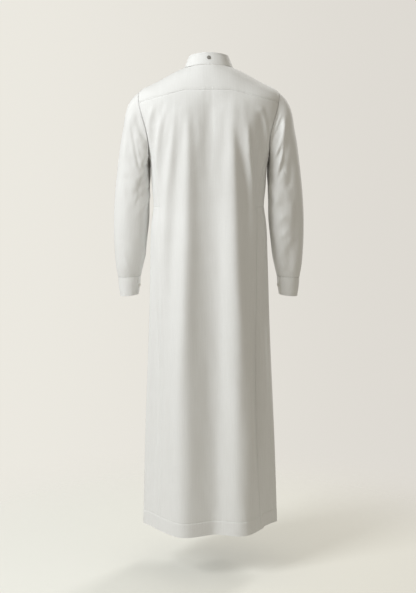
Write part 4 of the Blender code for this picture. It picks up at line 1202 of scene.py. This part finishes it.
def sleeve_surface(clock, along, side):
    """Points of a sleeve (mm), on the wearer's left."""
    clock, along = np.broadcast_arrays(np.asarray(clock, float), np.asarray(along, float))
    ring = SLEEVE_AT(along)
    points = ring_points(ring, clock)
    seam = armhole(clock)
    flip = 1 if side == "left" else -1
    edge = body(flip * seam[..., 0], seam[..., 1]) * (flip, 1, 1)
    keep = 1 - smooth_step(along / ARMHOLE_BLEND)
    points = points + (edge - ring_points(SLEEVE_AT(0.0), clock)) * keep[..., None]
    middle_x, middle_z = (ring[..., 0] + ring[..., 2]) / 2, (ring[..., 1] + ring[..., 3]) / 2
    outward = points - np.stack((middle_x, ring[..., 5], middle_z), axis=-1)
    radius = np.linalg.norm(outward, axis=-1)
    push = np.zeros_like(along)
    for fold in SLEEVE_FOLDS[side]:
        wrapped = (clock - fold.clock_1 + 180) % 360 - 180
        run = np.stack((along - fold.along_1, np.radians(wrapped) * radius), axis=-1)
        turned = math.radians(fold.clock_2 - fold.clock_1) * SLEEVE_RADIUS
        whole = np.array((fold.along_2 - fold.along_1, turned))
        length = np.linalg.norm(whole)
        share = (run @ whole) / length**2
        miss = (run[..., 0] * whole[1] - run[..., 1] * whole[0]) / length
        ends = np.exp(-(np.maximum(np.abs(share - 0.5) - 0.3, 0) ** 2) * 30)
        push = push + fold.out * bell(miss / fold.wide) * ends
    to_cuff = SLEEVE_END - along
    push = push * smooth_step(along / FOLD_END_FADE) * smooth_step(to_cuff / FOLD_END_FADE)
    x, z = points[..., 0], points[..., 2]
    facing = np.sin(np.radians(clock))
    creases = np.where(
        facing > 0,
        crease_height(SLEEVE_BACK_CREASES[side], x, z),
        crease_height(SLEEVE_FRONT_CREASES[side], x, z),
    )
    creases = creases * smooth_step(np.abs(facing) / CREASE_SIDE_FADE)
    creases = creases + ripple(np.radians(clock) * SLEEVE_RADIUS, z)
    creases = creases * smooth_step(along / CREASE_TOP_FADE)
    push = push + creases * smooth_step(to_cuff / CREASE_CUFF_FADE)
    gathers = sum(size * np.sin(np.radians(clock * n + start)) for size, n, start in GATHERS)
    push = push + gathers * np.exp(-to_cuff / GATHER_LENGTH)
    points = points + outward / radius[..., None] * push[..., None]
    rest = bell((clock - REST_CLOCK) / REST_HALF_CLOCK)
    rest = rest * smooth_step((along - REST_START) / REST_GROW)
    rest = rest * smooth_step((REST_END - along) / REST_FADE)
    points[..., 0] -= REST_DEPTH * rest
    return points


# Columns run against the clock, so that the normals point out of the sleeve.
clocks = np.linspace(0, 360, SLEEVE_COLUMNS + 1)[-2::-1]
alongs = graded(0, SLEEVE_END, SLEEVE_ROWS, SEAM_STEPS, SEAM_STEPS)
from_seam = np.abs((clocks - UNDERARM_CLOCK + 180) % 360 - 180) * UNDERARM_MM_PER_DEGREE
groove = UNDERARM_GROOVE * bell(from_seam / UNDERARM_GROOVE_WIDTH)
groove = groove - UNDERARM_RIDGE * bell((from_seam - UNDERARM_RIDGE_MIDDLE) / UNDERARM_RIDGE_WIDTH)
near_cuff = np.clip(1 - (SLEEVE_END - alongs[:, None]) / SEAM_ROLL_WIDTH, 0, 1)
groove = groove * smooth_step(alongs[:, None] / UNDERARM_TOP_FADE)
groove = groove - CUFF_SEAM_LIFT * near_cuff**2
for side, flip in (("left", (1, 1, 1)), ("right", (-1, 1, 1))):
    points = sleeve_surface(clocks[None], alongs[:, None], side)
    normal = surface_normals(points, closed=True)
    outer = rolled(points - normal * groove[..., None], normal, ("top", "bottom"))
    name = "sleeve_" + side
    inner = inner_face(outer, normal) * flip
    mesh = shell_mesh(name + "_cloth", outer * flip, inner, closed=True)
    sleeve = add_piece(mesh, CLOTH, [name])


# ---------------------------------------------------------------- cuffs
# The cuffs are stiffened bands, two layers deep, stitched round both edges.  Each laps over
# itself on the side towards the body, where a button closes it.

BAND_WALL, BAND_GROOVE, BAND_GROOVE_WIDTH, BAND_WAVE = 2.0, 0.28, 1.1, 0.25
CUFF_RINGS = (
    SleeveRing(0, 290.5, -654, 217.5, -650, 38, -34),
    SleeveRing(62, 284.5, -716, 224.5, -710, 36, -38.5),
)
CUFF_COLUMNS, CUFF_ROWS, CUFF_DEGREES_PER_MM, CUFF_BULGE = 110, 22, 1.5, 0.8
CUFF_LAP, CUFF_LAP_END = 32.0, 141.0
CUFF_START, CUFF_END = CUFF_LAP_END + CUFF_LAP, CUFF_LAP_END - 360
CUFF_STITCHED = (("top", 2.4), ("bottom", 6.0), ("start", 3.0), ("end", 3.0))


def lapped(places, lap, start_full, end_full):
    """Outward shift of a band's two ends, so that the upper end passes over the under one."""
    shift = (BAND_WALL + SEAM_GAP) / 2
    under = smooth_step((places - (start_full - lap)) / lap)
    over = smooth_step(((end_full + lap) - places) / lap)
    return shift * (over - under)


def sew_band(name, middle, stitched, waves):
    """Make a stiffened band about its middle surface (mm).  Returns it and its stitches."""
    normal = surface_normals(middle)
    distance = edge_distances(middle)
    half = band_height(np.minimum.reduce(list(distance.values())), BAND_WALL / 2)
    for edge, inset in stitched:
        half = half - BAND_GROOVE * bell((distance[edge] - inset) / BAND_GROOVE_WIDTH)
    outer = middle + normal * (half + waves)[..., None]
    inner = middle - normal * (half - waves)[..., None]
    band = add_piece(shell_mesh(name + "_cloth", outer, inner), CLOTH, [name])
    lines = [line_beside(outer, edge, inset) for edge, inset in stitched]
    return band, add_piece(stitch_mesh(name + "_stitches", lines), THREAD)


def cuff_middle(places, shares):
    """The middle surface of the left-hand cuff (mm)."""
    first, last = (np.array(ring[1:], float) for ring in CUFF_RINGS)
    ring = first + (last - first) * shares[:, None, None]
    ring = np.broadcast_to(ring, (len(shares), len(places), len(first)))
    points = ring_points(ring, places[None])
    turn = np.radians(places)
    outward = np.stack((np.cos(turn), np.sin(turn), np.zeros_like(turn)), axis=-1)
    shift = lapped(places, CUFF_LAP, CUFF_START, CUFF_END)
    bulge = CUFF_BULGE * np.sin(math.pi * shares)[:, None]
    points = points + outward[None] * (shift + bulge - BAND_WALL / 2)[..., None]
    points[0] -= (0, 0, SEAM_GAP / 2)
    return points


near = [step * CUFF_DEGREES_PER_MM for step in BAND_EDGE]
cuff_places = graded(CUFF_START, CUFF_END, CUFF_COLUMNS, near, near)
near = shares_of(BAND_EDGE + (5, 6, 7), CUFF_RINGS[-1].along)
left_middle = cuff_middle(cuff_places, graded(0, 1, CUFF_ROWS, near, near))
for side, middle in (("left", left_middle), ("right", left_middle[:, ::-1] * (-1, 1, 1))):
    waves = BAND_WAVE * np.sin(middle[..., 2] / 9 + middle[..., 1] / 7)
    cuff, stitches = sew_band("cuff_" + side, middle, CUFF_STITCHED, waves)


# ---------------------------------------------------------------- collar
# The stand collar is a stiffened band, lapped left over right at centre front.  It is stitched
# 7 mm below its upper edge and close to the neck seam.

CollarTop = namedtuple("CollarTop", "z_back z_side z_front half_width y_back y_front")
COLLAR_TOP = CollarTop(45, 37, -38, 60, 47, -68)
COLLAR_LAP_ANGLE, COLLAR_HEIGHT, COLLAR_LEAN = 7.0, 40, 0.3
COLLAR_END = 180 + COLLAR_LAP_ANGLE
COLLAR_COLUMNS, COLLAR_ROWS, COLLAR_DEGREES_PER_MM = 170, 14, 0.9
COLLAR_STITCHED = (("top", 7.0), ("bottom", 3.0), ("start", 3.0), ("end", 3.0))


def collar_middle(angles, shares):
    """The middle surface of the collar (mm); share is 0 at the top edge and 1 at the seam."""
    foot = body(angles, np.zeros_like(angles), False)
    turn = np.radians(angles)
    sine, cosine = np.sin(turn), np.cos(turn)
    z_end = np.where(cosine >= 0, COLLAR_TOP.z_back, COLLAR_TOP.z_front)
    y_end = np.where(cosine >= 0, COLLAR_TOP.y_back, -COLLAR_TOP.y_front)
    z_top = COLLAR_TOP.z_side + (z_end - COLLAR_TOP.z_side) * cosine**2
    top = np.stack((COLLAR_TOP.half_width * sine, y_end * cosine, z_top), axis=-1)
    outward = np.stack((sine, cosine, np.full_like(sine, COLLAR_LEAN)), axis=-1)
    outward /= np.linalg.norm(outward, axis=-1, keepdims=True)
    shift = lapped(-angles, 2 * COLLAR_LAP_ANGLE, COLLAR_END, -COLLAR_END) - BAND_WALL / 2
    foot, top = foot + outward * shift[:, None], top + outward * shift[:, None]
    foot[:, 2] += SEAM_GAP
    top[:, 2] += SEAM_GAP
    return top + (foot - top) * shares[:, None, None]


near = [step * COLLAR_DEGREES_PER_MM for step in BAND_EDGE]
angles = graded(-COLLAR_END, COLLAR_END, COLLAR_COLUMNS, near, near)
near = shares_of(BAND_EDGE + (5, 6, 7, 8), COLLAR_HEIGHT)
shares = graded(0, 1, COLLAR_ROWS, near, near)
waves = BAND_WAVE * np.sin(angles / 9)[None] * np.sin(shares * math.pi)[:, None]
collar, collar_stitches = sew_band("collar", collar_middle(angles, shares), COLLAR_STITCHED, waves)


# ---------------------------------------------------------------- buttons
# Four-hole shirt buttons of pearly white plastic, turned with a raised rim and a dished middle,
# are sewn on with two bars of thread.  A plain grey metal stud sits at the back of the collar.

CUFF_MIDDLE = (254.0, -36.0)
HOLE_OUT, HOLE_RADIUS, HOLE_DEPTH, HOLE_EDGE = 1.35, 0.85, 1.1, 0.35
BAR_HALF, BAR_SPREAD, BAR_DEPTH = 1.75, (-0.3, 0.0, 0.3), 0.62
BAR_ARCH, BAR_ARCH_HALF = 0.3, 1.6
MIDDLE_RADIUS, TURNED_SIDES, SHARP_EDGE_ANGLE = 0.05, 72, 40
# Profiles as (share of the radius, height): rims from the face, backs from the back face.
DISH_SHARE, DISH_DEPTH, DISH_CURVE, DISH_TURN = 0.62, 0.55, 0.12, 4
BUTTON_RIM = (
    (0.68, -0.42), (0.74, -0.22), (0.79, -0.08), (0.84, -0.01), (0.88, 0.0),
    (0.92, -0.06), (0.96, -0.2), (0.985, -0.45), (1.0, -0.8),
)
BUTTON_BACK = ((0.99, 0.5), (0.93, 0.1), (0.86, 0.0))
DOME_SHARE, DOME_DROP = 0.86, 0.35
STUD_RIM = ((0.93, -0.42), (0.98, -0.62), (1.0, -0.9))
STUD_BACK = ((0.98, 0.2), (0.9, 0.0))


def seat_of(node):
    """Middle, outward axis, radius and thickness of a round CAD node (mm)."""
    places = np.array([v.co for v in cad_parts[node].data.vertices]) / MM
    middle = (places.min(axis=0) + places.max(axis=0)) / 2
    _, axes = np.linalg.eigh(np.cov((places - middle).T))
    centre = (0.0, 0.0)
    if "cuff" in node:
        centre = (math.copysign(CUFF_MIDDLE[0], middle[0]), CUFF_MIDDLE[1])
    axis = axes[:, 0] * np.sign(axes[:, 0] @ (middle - (*centre, middle[2])))
    height = (places - middle) @ axis
    radius = np.linalg.norm((places - middle) - height[:, None] * axis, axis=1).max()
    return middle, axis, radius, height.max() - height.min()


def turned_mesh(name, radius, thick, face, rim, back, holes=()):
    """A disc turned from its profile, in mm, with pits at the holes.

    face holds the profile's own places near the middle; rim and back are shares of the radius.
    """
    profile = [*face, *((radius * share, thick / 2 + up) for share, up in rim)]
    profile += [(radius * share, -thick / 2 + up) for share, up in back]
    profile.append((MIDDLE_RADIUS, -thick / 2))
    turn = np.linspace(0, 2 * math.pi, TURNED_SIDES + 1)[:-1]
    out, height = np.array(profile, float).T
    x = out[:, None] * np.cos(turn)
    y = out[:, None] * np.sin(turn)
    z = np.broadcast_to(height[:, None], x.shape).copy()
    for hole_x, hole_y in holes:
        distance = np.hypot(x - hole_x, y - hole_y)
        pit = smooth_step((HOLE_RADIUS - distance) / (HOLE_RADIUS * HOLE_EDGE) + 0.5)
        z = np.where(z > 0, z - HOLE_DEPTH * pit, z)
    points = np.stack((x, y, z), axis=-1).reshape(-1, 3)
    index = np.arange(len(points)).reshape(len(profile), TURNED_SIDES)
    beside = np.roll(index, -1, axis=1)
    quads = np.stack((index[:-1], index[1:], beside[1:], beside[:-1]), axis=-1)
    faces = [*quads.reshape(-1, 4).tolist(), index[0].tolist(), index[-1][::-1].tolist()]
    mesh = bpy.data.meshes.new(name)
    mesh.from_pydata((points * MM).tolist(), [], faces)
    mesh.shade_smooth()
    mesh.set_sharp_from_angle(angle=math.radians(SHARP_EDGE_ANGLE))
    return mesh


def seated(mesh, middle, axis):
    """Move a mesh so that its +Z lies along axis at middle (mm)."""
    turn = Vector(axis).to_track_quat("Z", "Y").to_matrix().to_4x4()
    mesh.transform(Matrix.Translation(Vector(middle) * MM) @ turn)
    return mesh


def button_material():
    """Pearly moulded plastic with faint cloudy bands and a soft polish."""
    polish = {"Roughness": 0.28, "Coat Weight": 0.3, "Coat Roughness": 0.12}
    material, tree, shader = new_material("pearly_button", polish)
    cloud = piece_noise(tree, {"Scale": 260.0, "Distortion": 1.4})
    colour = colour_between(tree, cloud, (0.80, 0.78, 0.72, 1), (0.90, 0.89, 0.86, 1))
    wire(tree, shader, {"Base Color": colour})
    return material


def stud_material():
    """Dull grey metal with fine scratches."""
    metal = {"Metallic": 0.5, "Base Color": (0.30, 0.29, 0.27, 1)}
    material, tree, shader = new_material("dull_grey_metal", metal)
    scratch = piece_noise(tree, {"Scale": 900.0, "Detail": 4.0})
    rough = add_node(tree, "MapRange", {"Value": scratch, "To Min": 0.38, "To Max": 0.6})
    wire(tree, shader, {"Roughness": rough.outputs["Result"]})
    return material


BUTTON, STUD = button_material(), stud_material()
button_nodes = ["collar_button", "cuff_button_left", "cuff_button_right"]
button_nodes += [f"placket_button_{number}" for number in (1, 2, 3, 4)]
holes = [(x, y) for x in (-HOLE_OUT, HOLE_OUT) for y in (-HOLE_OUT, HOLE_OUT)]
for node in button_nodes:
    middle, axis, radius, thick = seat_of(node)
    dish = [
        (out, thick / 2 - DISH_DEPTH - DISH_CURVE * math.cos(out / radius * DISH_TURN))
        for out in np.linspace(MIDDLE_RADIUS, DISH_SHARE, 22) * radius
    ]
    mesh = turned_mesh(node + "_turned", radius, thick, dish, BUTTON_RIM, BUTTON_BACK, holes)
    add_piece(seated(mesh, middle, axis), BUTTON, [node])
    bar_height = thick / 2 - BAR_DEPTH + BAR_ARCH * (1 - (BAR_HALF / BAR_ARCH_HALF) ** 2)
    bars = [
        (
            np.array([(x, y + across, bar_height) for x in (-BAR_HALF, BAR_HALF)]),
            np.array(((0, 0, 1.0), (0, 0, 1.0))),
        )
        for y in (-HOLE_OUT, HOLE_OUT)
        for across in BAR_SPREAD
    ]
    add_piece(seated(stitch_mesh(node + "_thread", bars), middle, axis), THREAD)

middle, axis, radius, thick = seat_of("collar_back_stud")
dome = [
    (out, thick / 2 - DOME_DROP * (out / radius) ** 2)
    for out in np.linspace(MIDDLE_RADIUS, DOME_SHARE, 14) * radius
]
mesh = turned_mesh("collar_back_stud_turned", radius, thick, dome, STUD_RIM, STUD_BACK)
add_piece(seated(mesh, middle, axis), STUD, ["collar_back_stud"])


# ---------------------------------------------------------------- studio
# A pale floor that fades into the backdrop, one large soft light on the wearer's left behind,
# and dim light all round.  Floor and backdrop carry painted light, brighter toward the wearer's
# left.

FLOOR_Z, FLOOR_RADIUS, FLOOR_SIDES = -1.6, 1.6, 96
FLOOR_FADE_START, FLOOR_FADE_END = 0.35, 1.5
CAMERA_TILT = 8.19


def across_colour(tree, place, reach, first, second):
    """A colour that runs from first to second across X, from -reach to reach."""
    across = add_node(tree, "SeparateXYZ", {0: place}).outputs["X"]
    ends = {"Value": across, "From Min": -reach, "From Max": reach}
    share = add_node(tree, "MapRange", ends, interpolation_type="SMOOTHSTEP")
    return colour_between(tree, share.outputs["Result"], first, second)


def backdrop():
    """Warm off-white all round, with painted light: a little brighter toward the wearer's left,
    where the key light stands.
    """
    world = bpy.context.scene.world or bpy.data.worlds.new("studio")
    bpy.context.scene.world = world
    world.use_nodes = True
    tree = world.node_tree
    tree.nodes.clear()
    way = add_node(tree, "TexCoord").outputs["Generated"]
    # Painted light: the wall shown to the camera is brighter toward the wearer's left, as if lit
    # from there.
    wall = across_colour(tree, way, 0.2, (0.730, 0.702, 0.651, 1), (0.838, 0.815, 0.750, 1))
    shown = add_node(tree, "Background", {"Color": wall}).outputs[0]
    around = add_node(tree, "Background", {"Color": (0.40, 0.377, 0.328, 1)}).outputs[0]
    ray = add_node(tree, "LightPath").outputs["Is Camera Ray"]
    mixed = add_node(tree, "MixShader", {0: ray, 1: around, 2: shown}).outputs[0]
    add_node(tree, "OutputWorld", {"Surface": mixed})


def floor_material():
    """Pale matt floor whose edge fades away, with painted light: a glow seen only by the camera,
    brighter toward the wearer's left, that lights nothing.
    """
    matt = {"Base Color": (0.60, 0.585, 0.535, 1), "Roughness": 0.9, "Specular IOR Level": 0.1}
    material, tree, shader = new_material("pale_floor", matt)
    ray = add_node(tree, "LightPath").outputs["Is Camera Ray"]
    place = add_node(tree, "TexCoord").outputs["Object"]
    # Painted light: the floor glows to look lit, more toward the wearer's left.
    painted_floor_light = across_colour(tree, place, 0.8, (0.235, 0.23, 0.205, 1), (0.255, 0.27, 0.262, 1))
    length = add_node(tree, "VectorMath", {0: place}, operation="LENGTH").outputs["Value"]
    ends = {"From Min": FLOOR_FADE_START, "From Max": FLOOR_FADE_END, "To Min": 1.0, "To Max": 0.0}
    fade = add_node(
        tree, "MapRange", {"Value": length, **ends}, interpolation_type="SMOOTHERSTEP"
    ).outputs["Result"]
    wire(tree, shader, {"Emission Strength": ray, "Emission Color": painted_floor_light, "Alpha": fade})
    return material


def area_light(name, place, target, size, power, colour):
    light = bpy.data.lights.new(name, "AREA")
    light.shape = "RECTANGLE"
    light.size, light.size_y = size
    light.energy = power
    light.color = colour
    lamp = bpy.data.objects.new(name, light)
    lamp.location = place
    way = Vector(target) - Vector(place)
    lamp.rotation_euler = way.to_track_quat("-Z", "Y").to_euler()
    bpy.context.scene.collection.objects.link(lamp)


backdrop()
turns = np.linspace(0, 2 * math.pi, FLOOR_SIDES + 1)[:-1]
mesh = bpy.data.meshes.new("floor")
rim = [(FLOOR_RADIUS * math.cos(turn), FLOOR_RADIUS * math.sin(turn), 0) for turn in turns]
mesh.from_pydata(rim, [], [tuple(range(len(rim)))])
mesh.materials.append(floor_material())
floor = bpy.data.objects.new("floor", mesh)
floor.location = (0, 0, FLOOR_Z)
bpy.context.scene.collection.objects.link(floor)

area_light("key", (2.6, 2.0, 1.4), (0, 0, -0.5), (1.3, 2.0), 110, (0.93, 0.967, 1.0))
area_light("front_light", (-1.9, -2.9, 1.3), (0, 0, -0.6), (0.8, 1.3), 62, (0.98, 0.985, 1.0))

camera_data = bpy.data.cameras.new("camera")
camera_data.lens = 69.4
camera_data.sensor_width = 36
camera = bpy.data.objects.new("camera", camera_data)
camera.location = (0.0025, 3.6, -0.196)
camera.rotation_euler = (math.radians(90 - CAMERA_TILT), 0, math.pi)
bpy.context.scene.collection.objects.link(camera)
bpy.context.scene.camera = camera
bpy.context.scene.view_settings.view_transform = "Standard"
